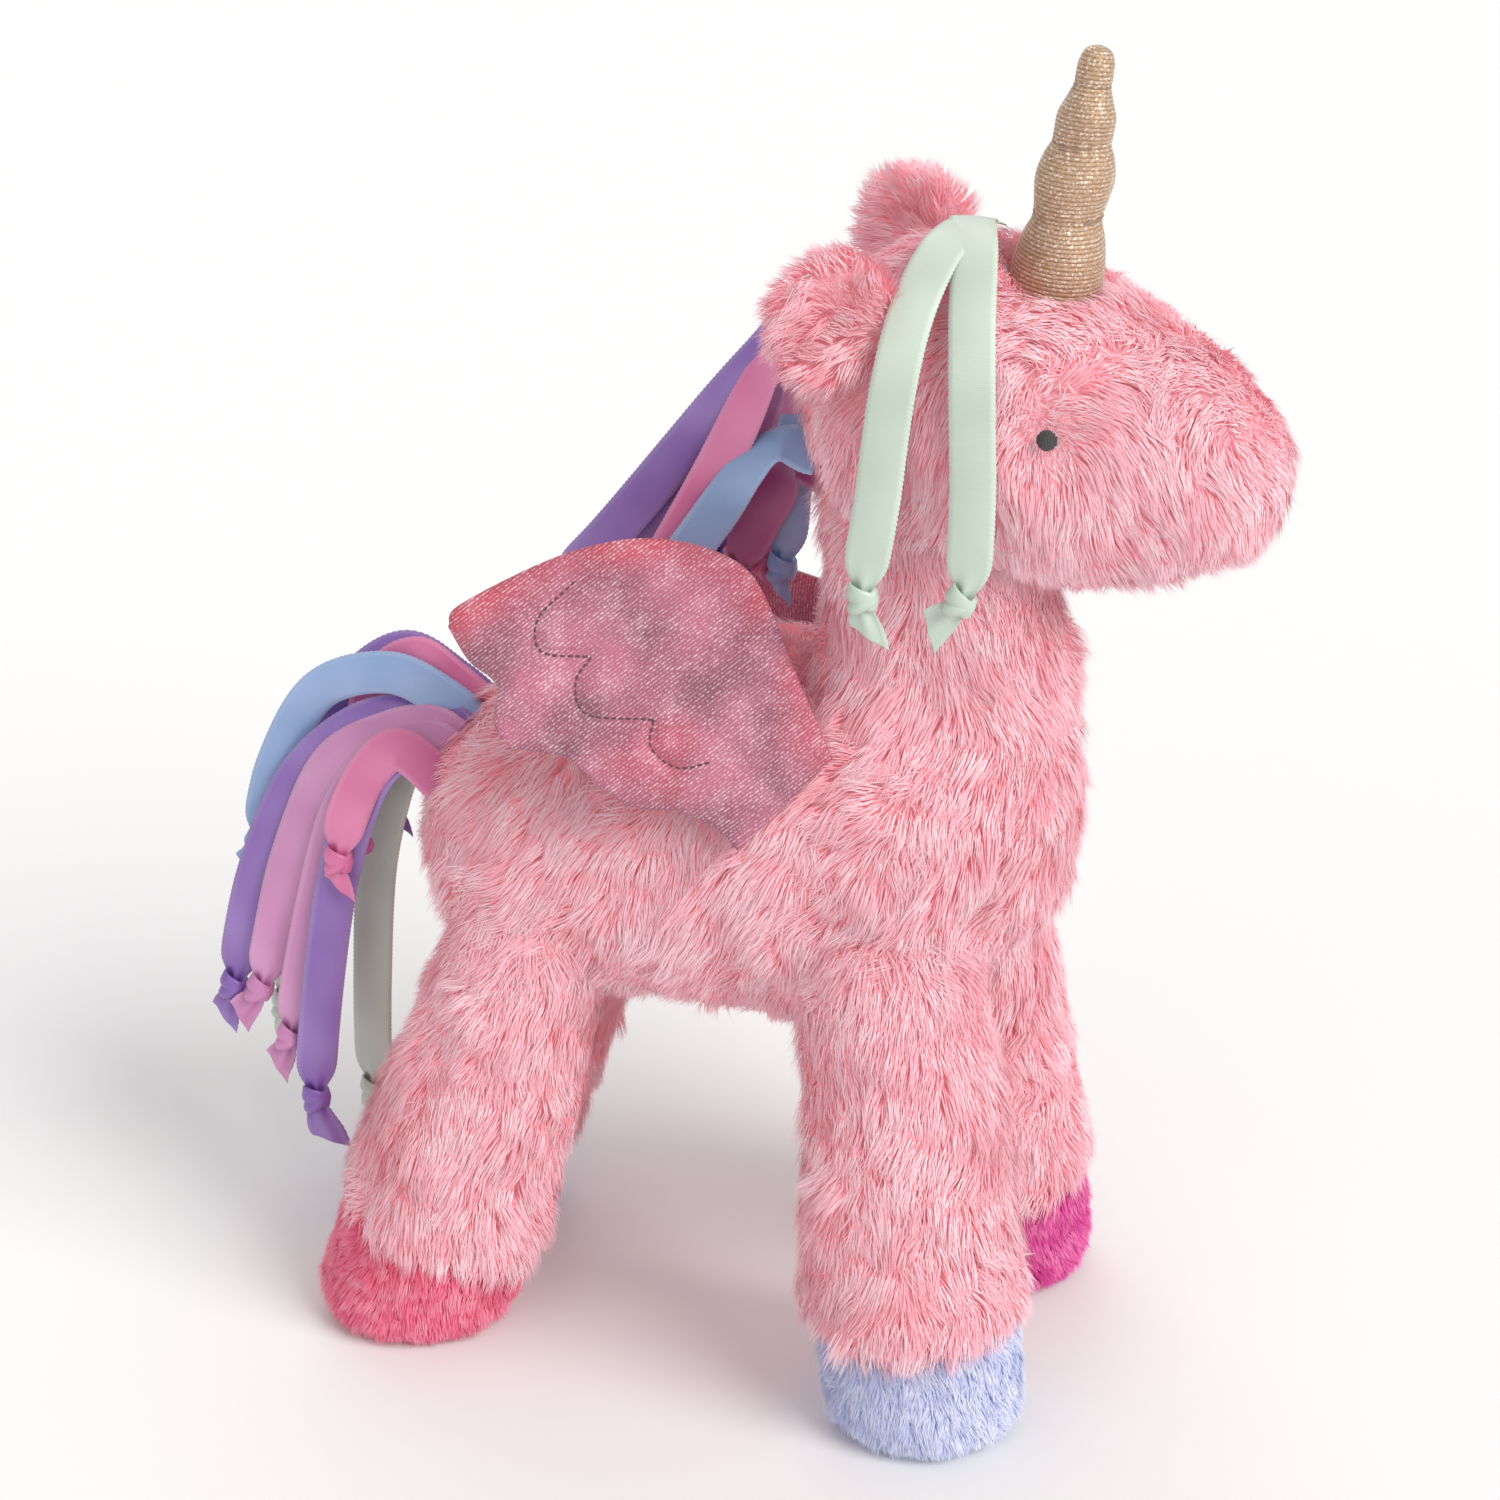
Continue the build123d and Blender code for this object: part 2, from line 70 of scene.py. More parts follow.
JOINTS = {joint["name"]: joint for joint in frame["record"]["behaviour"]["joints"]}

# the photographer's view: degrees, millimetres, and the lens on its sensor
VIEW_AZIMUTH = 17.0
VIEW_ELEVATION = 25.0
VIEW_DISTANCE = 925.0
VIEW_TARGET = (8.5, 0.0, 153.1)
VIEW_LENS = 93.28
SENSOR = 36.0

WAVES = 10  # summed in a wandering field
WAVE_STRETCH = 1.7  # of the waves, over the field's scale
WAVE_SUM = 2.6  # brings the sum back to about one


def pivot(joint):
    """Where a joint turns, in millimetres."""
    return np.array(JOINTS[joint]["pos_m"]) / MM


def box_middle(node):
    low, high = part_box(node)
    return np.array((low + high) / 2) / MM


def unit(vectors):
    """One vector, or each row of an array, made one long."""
    vectors = np.asarray(vectors, float)
    size = np.linalg.norm(vectors, axis=-1, keepdims=True)
    return vectors / np.maximum(size, 1e-9)


def smooth_step(low, high, values):
    t = np.clip((values - low) / (high - low), 0, 1)
    return t * t * (3 - 2 * t)


def wander(points, scale, seed):
    """A smooth field of vectors about one long, which changes over about scale millimetres."""
    rng = np.random.default_rng(seed)
    waves = rng.normal(size=(WAVES, 3)) * tau / (WAVE_STRETCH * scale)
    phases = rng.uniform(0, tau, (WAVES, 3))
    angles = np.asarray(points) @ waves.T
    return np.sin(angles[..., None] + phases).sum(-2) / WAVE_SUM


# ---- materials ----
# Texture scales are turns or cells in a millimetre.

WHITE = (1.0, 1.0, 1.0)


class Look:
    """A Principled material, with short ways to add the nodes that give it its detail."""

    def __init__(self, name, colour, roughness, **sockets):
        self.material = bpy.data.materials.new(name)
        self.material.use_nodes = True
        self.material.diffuse_color = (*colour, 1)
        self.nodes = self.material.node_tree.nodes
        self.links = self.material.node_tree.links
        self.shader = self.nodes["Principled BSDF"]
        sockets |= {"Base_Color": (*colour, 1), "Roughness": roughness}
        for socket, value in sockets.items():
            self.shader.inputs[socket.replace("_", " ")].default_value = value

    def node(self, kind, where=None, **inputs):
        """A new node with its inputs set, and its Vector fed from where."""
        node = self.nodes.new("ShaderNode" + kind)
        for name, value in inputs.items():
            node.inputs[name].default_value = value
        if where is not None:
            self.links.new(where, node.inputs["Vector"])
        return node

    def put(self, socket, value):
        """Feed a socket from a node, or give it a number or a colour."""
        if isinstance(value, bpy.types.NodeSocket):
            self.links.new(value, socket)
        else:
            socket.default_value = value if isinstance(value, float) else (*value, 1)

    def place(self, uv=False, stretch=(1, 1, 1), turn=0):
        """Coordinates in millimetres: of the object, or along and across its UV map."""
        source = self.node("TexCoord").outputs["UV" if uv else "Object"]
        scale = [s / MM for s in stretch]
        return self.node("Mapping", source, Scale=scale, Rotation=(0, 0, radians(turn))).outputs["Vector"]

    def noise(self, where, scale, detail=3.0):
        return self.node("TexNoise", where, Scale=scale, Detail=detail).outputs["Fac"]

    def cells(self, where, scale):
        return self.node("TexVoronoi", where, Scale=scale).outputs["Color"]

    def wave(self, where, scale, direction="X", distortion=0.0):
        node = self.node("TexWave", where, Scale=scale, Distortion=distortion)
        node.bands_direction = direction
        return node.outputs["Fac"]

    def attribute(self, name):
        node = self.node("Attribute")
        node.attribute_name = name
        return node.outputs["Fac"]

    def ramp(self, value, low, high):
        """A value turned to greys or colours, from low to high, each a place and its tone."""
        node = self.node("ValToRGB")
        for element, (place, tone) in zip(node.color_ramp.elements, (low, high)):
            element.position = place
            element.color = (*np.broadcast_to(tone, 3), 1)
        self.links.new(value, node.inputs["Fac"])
        return node.outputs["Color"]

    def math(self, operation, a, b):
        node = self.node("Math")
        node.operation = operation
        self.put(node.inputs[0], a)
        self.put(node.inputs[1], b)
        return node.outputs["Value"]

    def times(self, a, b):
        return self.math("MULTIPLY", a, b)

    def plus(self, a, b):
        return self.math("ADD", a, b)

    def mix(self, amount, a, b):
        node = self.node("Mix")
        node.data_type = "RGBA"
        sockets = {socket.identifier: socket for socket in (*node.inputs, *node.outputs)}
        self.put(sockets["Factor_Float"], amount)
        self.put(sockets["A_Color"], a)
        self.put(sockets["B_Color"], b)
        return sockets["Result_Color"]

    def drive(self, socket, value):
        self.links.new(value, self.shader.inputs[socket])

    def bump(self, height, distance, strength=1.0):
        """Relief of the given depth in millimetres."""
        node = self.node("Bump", Strength=strength, Distance=distance * MM)
        self.links.new(height, node.inputs["Height"])
        self.drive("Normal", node.outputs["Normal"])


def shade(colour, factor):
    return tuple(channel * factor for channel in colour)


def blend_colours(a, b, t):
    return tuple(p * (1 - t) + q * t for p, q in zip(a, b))


def hide_look(name, root, tip):
    """The woven backing and the short dense pile under the long strands."""
    look = Look(name, root, 0.95, Sheen_Weight=0.4, Sheen_Roughness=0.6)
    where = look.place()
    deep, fresh = shade(root, 0.85), blend_colours(root, tip, 0.45)
    look.drive("Base Color", look.ramp(look.noise(where, 0.12, 4.0), (0.3, deep), (0.7, fresh)))
    look.bump(look.noise(where, 1.6, 6.0), 0.6)
    return look.material


ROOT, TIP, PALE, ROSY = range(4)  # the tones of a pile, in the order of its materials
ROOT_GLOW = 0.13  # painted glow: the roots emit a little light of their own, in place of light that reaches them through the translucent fibres


def strand_looks(name, root, tip, pale):
    """Plain tones of one pile: deep at the root, partly as painted shade, and with a faint painted glow; then
    three tones of tip.
    """
    soft = dict(Sheen_Weight=0.15, Sheen_Roughness=0.5, Sheen_Tint=(*tip, 1), Specular_IOR_Level=0.08)
    # painted glow on the root tone, emitted in its own colour
    glow = dict(Emission_Color=(*root, 1), Emission_Strength=ROOT_GLOW)
    looks = [
        Look(f"{name}_root", root, 0.9, **soft, **glow),
        Look(f"{name}_tip", tip, 0.75, **soft),
        Look(f"{name}_pale", pale, 0.7, **soft),
        Look(f"{name}_rosy", blend_colours(root, tip, 0.55), 0.8, **soft),
    ]
    return [look.material for look in looks]


def satin_look(name, colour):
    """Woven satin: fine floats across the ribbon, a corded edge on both sides, and painted highlights and
    painted shade in patches along it.
    """
    look = Look(name, colour, 0.3, Sheen_Weight=0.3, Sheen_Roughness=0.35, Anisotropic=0.6,
                Sheen_Tint=(*blend_colours(colour, WHITE, 0.6), 1), Specular_IOR_Level=0.8)
    along = look.place(uv=True)
    threads = look.wave(along, 0.9, "Y")
    fine = look.noise(look.place(uv=True, stretch=(0.15, 1, 1)), 3.0, 2.0)
    edge = look.attribute("edge")
    # painted shade (deep) and painted highlight (light), in long patches along the ribbon
    deep, light = shade(colour, 0.8), blend_colours(colour, WHITE, 0.16)
    body = look.ramp(look.noise(along, 0.035, 1.0), (0.3, deep), (0.7, light))
    streaked = look.mix(look.times(fine, 0.22), body, shade(colour, 0.7))
    cord = blend_colours(colour, WHITE, 0.3)
    look.drive("Base Color", look.mix(look.times(edge, 0.55), streaked, cord))
    look.drive("Roughness", look.ramp(look.plus(look.times(fine, 0.5), edge), (0.1, 0.28), (1.0, 0.6)))
    look.bump(look.plus(threads, look.times(fine, 0.6)), 0.04, 0.5)
    return look.material


def velvet_look(name):
    """Crushed panne velvet: rose, with painted shadow in mauve clouds, painted shade in coral along the crown
    edge and in two hollows, painted sheen in lighter patches and painted glints on the twill.
    """
    rose, coral, mauve, glint = (0.50, 0.15, 0.23), (0.52, 0.08, 0.12), (0.27, 0.09, 0.14), (1.0, 0.72, 0.80)
    look = Look(name, rose, 0.5, Sheen_Weight=0.8, Sheen_Roughness=0.35, Anisotropic=0.3,
                Sheen_Tint=(1.0, 0.72, 0.76, 1))
    where = look.place(uv=True)
    clouds = look.noise(where, 0.055)
    crush_and_sheen = look.noise(where, 0.16, 4.0)
    twill = look.wave(look.place(uv=True, turn=52), 0.42, "X", 0.8)
    floats = look.noise(look.place(uv=True, stretch=(1, 0.7, 1)), 1.6, 2.0)
    raised = look.ramp(twill, (0.45, 0.0), (0.95, 1.0))
    sparkle = look.times(raised, look.ramp(floats, (0.42, 0.0), (0.66, 1.0)))
    # painted shadow: mauve where the clouds are low, rose elsewhere
    base = look.mix(look.ramp(clouds, (0.36, 0.0), (0.62, 1.0)), mauve, rose)
    # painted coral shade along the crown edge and in two hollows
    edge_shaded = look.mix(look.attribute("rim"), base, coral)
    # painted sheen: lighter patches of rose mixed towards the glint colour
    sheen_lit = look.mix(look.ramp(crush_and_sheen, (0.5, 0.0), (0.75, 0.4)), edge_shaded, blend_colours(rose, glint, 0.35))
    # painted glints on the raised twill, strongest in the sheen patches
    glints = look.times(sparkle, look.ramp(crush_and_sheen, (0.35, 0.45), (0.65, 1.0)))
    look.drive("Base Color", look.mix(glints, sheen_lit, glint))
    look.drive("Roughness", look.ramp(sparkle, (0.0, 0.62), (1.0, 0.3)))
    look.bump(look.plus(twill, floats), 0.12, 0.7)
    return look.material


def knit_look(name):
    """Fine rib knit of tan yarn and gold lurex, with painted shade in the grooves between the ribs and
    painted glints scattered on the ridges.
    """
    tan, gold, deep, glint = (0.50, 0.315, 0.19), (0.70, 0.47, 0.30), (0.25, 0.145, 0.08), (1.0, 0.9, 0.78)
    look = Look(name, tan, 0.5, Metallic=0.35, Sheen_Weight=0.3)
    where = look.place()
    yarn = look.noise(where, 1.3)
    flecks = look.ramp(look.cells(where, 3.2), (0.62, 0.0), (0.8, 1.0))
    bright = look.ramp(look.cells(where, 2.7), (0.7, 0.0), (0.78, 1.0))
    rib = look.attribute("rib")
    # painted shade: the grooves between the ribs take the deep colour
    base = look.mix(rib, deep, look.ramp(yarn, (0.3, tan), (0.7, gold)))
    lit = look.mix(look.times(flecks, 0.45), base, gold)
    # painted glints, on the ridges only
    look.drive("Base Color", look.mix(look.times(bright, rib), lit, glint))
    look.drive("Roughness", look.ramp(bright, (0.0, 0.55), (1.0, 0.12)))
    look.bump(look.plus(yarn, look.times(flecks, 0.7)), 0.25, 0.9)
    return look.material


def thread_look(name, colour):
    """Twisted thread, with painted shade between its strands and a painted highlight on them."""
    look = Look(name, colour, 0.6, Sheen_Weight=0.12)
    strands = look.wave(look.place(), 1.4, "DIAGONAL", 1.5)
    # painted shade between the strands (deep), painted highlight on them (light)
    deep, light = shade(colour, 0.6), blend_colours(colour, WHITE, 0.12)
    look.drive("Base Color", look.ramp(strands, (0.2, deep), (0.8, light)))
    look.bump(strands, 0.08)
    return look.material


# ---- meshes ----

def link(name, data):
    """A new object in the scene, with a mesh, a lamp or a camera as its data."""
    piece = bpy.data.objects.new(name, data)
    bpy.context.scene.collection.objects.link(piece)
    return piece


def add_mesh(name, points, faces, materials, tones=None):
    """A smooth mesh object, from points in millimetres and arrays of faces with 3 or 4 corners."""
    mesh = bpy.data.meshes.new(name)
    faces = [np.asarray(group, np.int32) for group in faces if len(group)]
    corners = np.concatenate([group.ravel() for group in faces])
    sizes = np.concatenate([np.full(len(group), group.shape[1]) for group in faces])
    mesh.vertices.add(len(points))
    mesh.vertices.foreach_set("co", (np.asarray(points, np.float64) * MM).astype(np.float32).ravel())
    mesh.loops.add(len(corners))
    mesh.loops.foreach_set("vertex_index", corners)
    mesh.polygons.add(len(sizes))
    starts = np.concatenate([[0], np.cumsum(sizes)[:-1]]).astype(np.int32)
    mesh.polygons.foreach_set("loop_start", starts)
    mesh.polygons.foreach_set("use_smooth", np.ones(len(sizes), bool))
    if tones is not None:
        mesh.polygons.foreach_set("material_index", np.asarray(tones, np.int32))
    for material in materials:
        mesh.materials.append(material)
    mesh.update(calc_edges=True)
    return link(name, mesh)


def set_numbers(piece, name, values):
    """Store one number for each point, for a material to read."""
    layer = piece.data.attributes.new(name, "FLOAT", "POINT")
    layer.data.foreach_set("value", np.asarray(values, np.float32))


def read_rows(items, field, width, kind=np.float32):
    """One field of every item of a mesh, a row for each."""
    values = np.empty(len(items) * width, kind)
    items.foreach_get(field, values)
    return values.reshape(-1, width)


def set_uv(piece, places):
    """Store flat coordinates in metres for each point, for a material to read."""
    corners = read_rows(piece.data.loops, "vertex_index", 1, np.int32).ravel()
    layer = piece.data.uv_layers.new(name="flat")
    layer.data.foreach_set("uv", (np.asarray(places)[corners] * MM).astype(np.float32).ravel())


def get_points(mesh):
    return read_rows(mesh.vertices, "co", 3).astype(float) / MM


def set_points(mesh, points):
    mesh.vertices.foreach_set("co", (points * MM).astype(np.float32).ravel())
    mesh.update()


def get_normals(mesh):
    return read_rows(mesh.vertex_normals, "vector", 3).astype(float)


def get_triangles(mesh):
    mesh.calc_loop_triangles()
    return read_rows(mesh.loop_triangles, "vertices", 3, np.int32)


def tube_faces(rings, around, closed_round=True, loop=False):
    """Faces between successive rings of points."""
    count = rings if loop else rings - 1
    span = around if closed_round else around - 1
    ring, step = np.meshgrid(np.arange(count), np.arange(span), indexing="ij")
    after, beside = (ring + 1) % rings, (step + 1) % around
    quads = [ring * around + step, ring * around + beside, after * around + beside, after * around + step]
    return np.stack(quads, -1).reshape(-1, 4)


RUN_SAMPLES = 40  # between two points of a curve, before it is divided evenly


def curve_through(points, step):
    """Evenly spaced points on a smooth curve through the given ones, and the length along it."""
    points = np.asarray(points, float)
    ends = np.vstack([2 * points[0] - points[1], points, 2 * points[-1] - points[-2]])
    t = np.linspace(0, 1, RUN_SAMPLES, endpoint=False)[:, None]
    runs = []
    for a, b, c, d in zip(ends, ends[1:], ends[2:], ends[3:]):
        square, cube = 2 * a - 5 * b + 4 * c - d, 3 * b - a - 3 * c + d
        runs.append(0.5 * (2 * b + (c - a) * t + square * t**2 + cube * t**3))
    dense = np.vstack(runs + [points[-1:]])
    along = np.concatenate([[0], np.cumsum(np.linalg.norm(np.diff(dense, axis=0), axis=1))])
    even = np.linspace(0, along[-1], max(int(round(along[-1] / step)), 4) + 1)
    return np.stack([np.interp(even, along, column) for column in dense.T], -1), even


def circle(count):
    """Evenly spaced angles round a ring, in radians."""
    return np.arange(count) / count * tau


def ring_round(centre, radius, angles, first, second):
    """Points of a ring in the plane of two directions, which starts towards the first."""
    return centre + np.outer(radius * np.cos(angles), first) + np.outer(radius * np.sin(angles), second)


# ---- skins: stuffed forms under the pile ----

# the remesh's voxel in millimetres, and the rounds of smoothing after it
SKIN_GRID = {"body": (3.0, 14), "head": (2.6, 10), "ear": (1.5, 5), "leg": (2.4, 5), "hoof": (2.0, 3)}


def ball_mesh(target, centre, radii):
    """Add a round form to a bmesh, to fill a hollow or swell a shape before it is remeshed."""
    matrix = Matrix.Translation(Vector(centre) * MM) @ Matrix.Diagonal((*[r * MM for r in radii], 1))
    bmesh.ops.create_icosphere(target, subdivisions=4, radius=1, matrix=matrix)


def stuffed_skin(name, nodes, grid, material, balls=()):
    """One closed, softly rounded skin round the named CAD nodes and any added balls."""
    raw = bmesh.new()
    for node in nodes:
        raw.from_mesh(frame["nodes"][node].data)
    for centre, radii in balls:
        ball_mesh(raw, centre, radii)
    mesh = bpy.data.meshes.new(name + "_raw")
    raw.to_mesh(mesh)
    raw.free()
    draft = link(name + "_raw", mesh)
    voxel, rounds = SKIN_GRID[grid]
    remesh = draft.modifiers.new("remesh", "REMESH")
    remesh.mode = "VOXEL"
    remesh.voxel_size = voxel * MM
    smooth = draft.modifiers.new("smooth", "SMOOTH")
    smooth.iterations = rounds
    bpy.context.view_layer.update()
    ready = draft.evaluated_get(bpy.context.evaluated_depsgraph_get())
    final = bpy.data.meshes.new_from_object(ready)
    bpy.data.objects.remove(draft)
    final.name = name
    keep_outside(final)
    final.polygons.foreach_set("use_smooth", np.ones(len(final.polygons), bool))
    final.materials.clear()
    final.materials.append(material)
    return link(name, final)


def keep_outside(mesh):
    """Drop the closed pockets inside the skin, which the cover's own hollow leaves."""
    work = bmesh.new()
    work.from_mesh(mesh)
    waiting, groups = set(work.verts), []
    while waiting:
        group, fresh = set(), {waiting.pop()}
        while fresh:
            group |= fresh
            fresh = {edge.other_vert(vert) for vert in fresh for edge in vert.link_edges} - group
        waiting -= group
        groups.append(group)
    groups.sort(key=len)
    for group in groups[:-1]:
        bmesh.ops.delete(work, geom=list(group), context="VERTS")
    work.to_mesh(mesh)
    work.free()


def swell(piece, amount, scale, seed):
    """Push a skin in and out a little, as loose stuffing does."""
    points = get_points(piece.data)
    normals = get_normals(piece.data)
    bumps = wander(points, scale, seed)[:, :1]
    set_points(piece.data, points + normals * bumps * amount)


# ---- pile: strands grown on a skin ----

@dataclass
class Pile:
    """How a stretch of pile grows, in millimetres and degrees."""
    looks: list  # its tones, from strand_looks
    length: object  # length(points, normals) of the strands
    density: float  # strands on a square millimetre
    tuft: float  # between the middles of its tufts
    lean: tuple = (50, 77)  # from upright, below and above a strand's bend
    curl: float = 0.36  # how far the tips of a tuft draw together
    swirl: float = 0.34
    width: float = 0.27


BURIED = 5.0  # nothing grows deeper than this inside a neighbour
ROOT_DEPTH = 0.5  # of a strand's root, under the skin
BEND_AT = 0.46  # of a strand's length
DROOP = 0.08  # of a tip under its own weight, over the strand's length
TURN = 0.18  # of a strand's flat side from the skin, in radians
STRAY = 0.16  # of single strands from the lie of the pile
TUFT_STRAY = 0.2  # of whole tufts
LENGTHS = (0.74, 1.12)  # the shortest and the longest strand, over the pile's length
WIDTHS = (0.75, 1.25)
PALE_OVER, ROSY_UNDER = 0.62, 0.2  # of a tuft's own tone, from 0 to 1


def scatter(mesh, density, rng):
    """Random places on a mesh: points, normals."""
    points, normals, triangles = get_points(mesh), get_normals(mesh), get_triangles(mesh)
    a, b, c = (points[triangles[:, k]] for k in range(3))
    areas = np.linalg.norm(np.cross(b - a, c - a), axis=1) / 2
    count = int(areas.sum() * density)
    chosen = rng.choice(len(triangles), count, p=areas / areas.sum())
    u, v = rng.random((2, count, 1))
    flip = u + v > 1
    u, v = np.where(flip, 1 - u, u), np.where(flip, 1 - v, v)
    corners = triangles[chosen]
    weights = (1 - u - v, u, v)
    spots = sum(w * points[corners[:, k]] for k, w in enumerate(weights))
    facing = sum(w * normals[corners[:, k]] for k, w in enumerate(weights))
    return spots, unit(facing)


def depth_inside(points, solids):
    """How deep each point lies inside the nearest of the given skins, or 0 outside."""
    depth = np.zeros(len(points))
    for solid in solids:
        tree = BVHTree.FromObject(solid, bpy.context.evaluated_depsgraph_get())
        own = get_points(solid.data)
        near = np.all((points > own.min(0)) & (points < own.max(0)), axis=1)
        for index in np.flatnonzero(near):
            spot = Vector(points[index]) * MM
            place, normal, _, distance = tree.find_nearest(spot)
            if (spot - place).dot(normal) < 0:
                depth[index] = max(depth[index], distance / MM)
    return depth


def nearest(points, centres):
    """For each point, the index of the nearest centre."""
    tree = KDTree(len(centres))
    for index, centre in enumerate(centres):
        tree.insert(centre, index)
    tree.balance()
    return np.array([tree.find(point)[1] for point in points])


def along_surface(directions, normals):
    """The part of each direction that lies in the surface, one long."""
    return unit(directions - normals * np.sum(directions * normals, axis=1, keepdims=True))


def tuft_tips(tips, tuft, tufts):
    """The mean of the tips of each tuft."""
    sums = np.stack([np.bincount(tuft, column, tufts) for column in tips.T], -1)
    return sums / np.maximum(np.bincount(tuft, minlength=tufts)[:, None], 1)


def grow_pile(name, skin, pile, comb, keep, seed, under=()):
    """Strands on a skin, combed by comb(points, normals), where keep(points) is true."""
    rng = np.random.default_rng(seed)
    roots, normals = scatter(skin.data, pile.density, rng)
    wanted = keep(roots)
    roots, normals = roots[wanted], normals[wanted]
    open_air = depth_inside(roots, under) < BURIED
    roots, normals = roots[open_air], normals[open_air]
    count = len(roots)

    tufts = max(int(count / (pile.density * pile.tuft**2)), 8)
    centres = roots[rng.choice(count, tufts, replace=False)]
    tuft = nearest(roots, centres)
    tuft_turn = rng.normal(size=(tufts, 3))
    tuft_lean = rng.normal(0, 5, tufts)
    tuft_tone = rng.random(tufts)
    tuft_size = rng.normal(1, 0.09, tufts)

    flow = comb(roots, normals)
    flow = flow + pile.swirl * wander(roots, 30, seed + 1) + 0.5 * pile.swirl * wander(roots, 11, seed + 2)
    flow = flow + TUFT_STRAY * tuft_turn[tuft] + rng.normal(0, STRAY, (count, 3))
    flow = along_surface(flow, normals)
    parting = wander(roots, 24, seed + 3)[:, 0]
    low = np.radians(pile.lean[0] + tuft_lean[tuft] - 6 * parting + rng.normal(0, 6, count))[:, None]
    high = np.radians(pile.lean[1] + tuft_lean[tuft] - 8 * parting + rng.normal(0, 7, count))[:, None]
    reach = (pile.length(roots, normals) * tuft_size[tuft] * rng.uniform(*LENGTHS, count))[:, None]

    start = roots - normals * ROOT_DEPTH
    middle = start + (normals * np.cos(low) + flow * np.sin(low)) * reach * BEND_AT
    tip = middle + (normals * np.cos(high) + flow * np.sin(high)) * reach * (1 - BEND_AT)
    gather = tuft_tips(tip, tuft, tufts)[tuft]
    pull = (pile.curl * rng.uniform(0.5, 1.0, count))[:, None]
    tip = tip + (gather - tip) * pull
    middle = middle + (gather - tip) * pull * 0.18
    tip = tip - UP * DROOP * reach

    floor = 0.35 + 0.5 * rng.random((count, 1))
    middle[:, 2:] = np.maximum(middle[:, 2:], floor)
    tip[:, 2:] = np.maximum(tip[:, 2:], floor)

    turn = rng.uniform(-TURN, TURN, (count, 1))
    side = unit(np.cross(tip - start, normals))
    across = side * np.cos(turn) + normals * np.sin(turn)
    half = pile.width / 2 * rng.uniform(*WIDTHS, (count, 1))
    points = np.stack([start, middle - across * half, middle + across * half, tip], 1)
    first = np.arange(count, dtype=np.int32)[:, None] * 4
    lower, upper = first + np.array([0, 2, 1], np.int32), first + np.array([1, 2, 3], np.int32)
    tone = tuft_tone[tuft] + rng.normal(0, 0.22, count)
    upper_tones = np.where(tone > PALE_OVER, PALE, np.where(tone < ROSY_UNDER, ROSY, TIP))
    tones = np.concatenate([np.full(count, ROOT), upper_tones])
    return add_mesh(name, points.reshape(-1, 3), [lower, upper], pile.looks, tones)


# ---- the toy's forms ----

HEAD_DROP = radians(13)  # of the muzzle, below level
HORN_LEAN = radians(8.5)  # of the horn, forward
HEAD_LINE = np.array([cos(HEAD_DROP), 0, -sin(HEAD_DROP)])
HORN_LINE = np.array([sin(HORN_LEAN), 0, cos(HORN_LEAN)])
EYES = {side: box_middle(f"eye_{side}") for side in SIDES}
HORN_ROOT = pivot("horn_lean")
NECK = pivot("neck_bend")
NECK_TOP = pivot("head_turn")
NECK_LINE = NECK[2] + 22  # above it the skin belongs to the neck's panels
HIPS = {corner: pivot(f"hip_{corner}") for corner in CORNERS}
SOLES = {m["name"].removeprefix("sole_"): np.array(m["pos_m"]) / MM for m in frame["record"]["mounts"]}
HIP_BALL = {"front": 19.0, "back": 17.5}

# the root tone, which the backing takes too, is partly the fibres' own pink and partly painted shade down in
# the pile
PINK_ROOT = (0.94, 0.39, 0.455)
PINK_TIP = (0.97, 0.60, 0.67)
PINK_PALE = (0.985, 0.71, 0.76)
# each hoof's name and its root, tip and pale tones; the root tone is partly painted shade down in the pile
HOOF_TONES = {
    "front_right": ("periwinkle", (0.56, 0.60, 0.84), (0.70, 0.74, 0.93), (0.80, 0.84, 0.97)),
    "back_right": ("hot_pink", (0.86, 0.13, 0.26), (0.94, 0.25, 0.39), (0.97, 0.38, 0.50)),
    "front_left": ("magenta", (0.66, 0.05, 0.29), (0.84, 0.13, 0.43), (0.90, 0.24, 0.53)),
    "back_left": ("lilac", (0.33, 0.17, 0.55), (0.52, 0.34, 0.76), (0.66, 0.48, 0.86)),
}


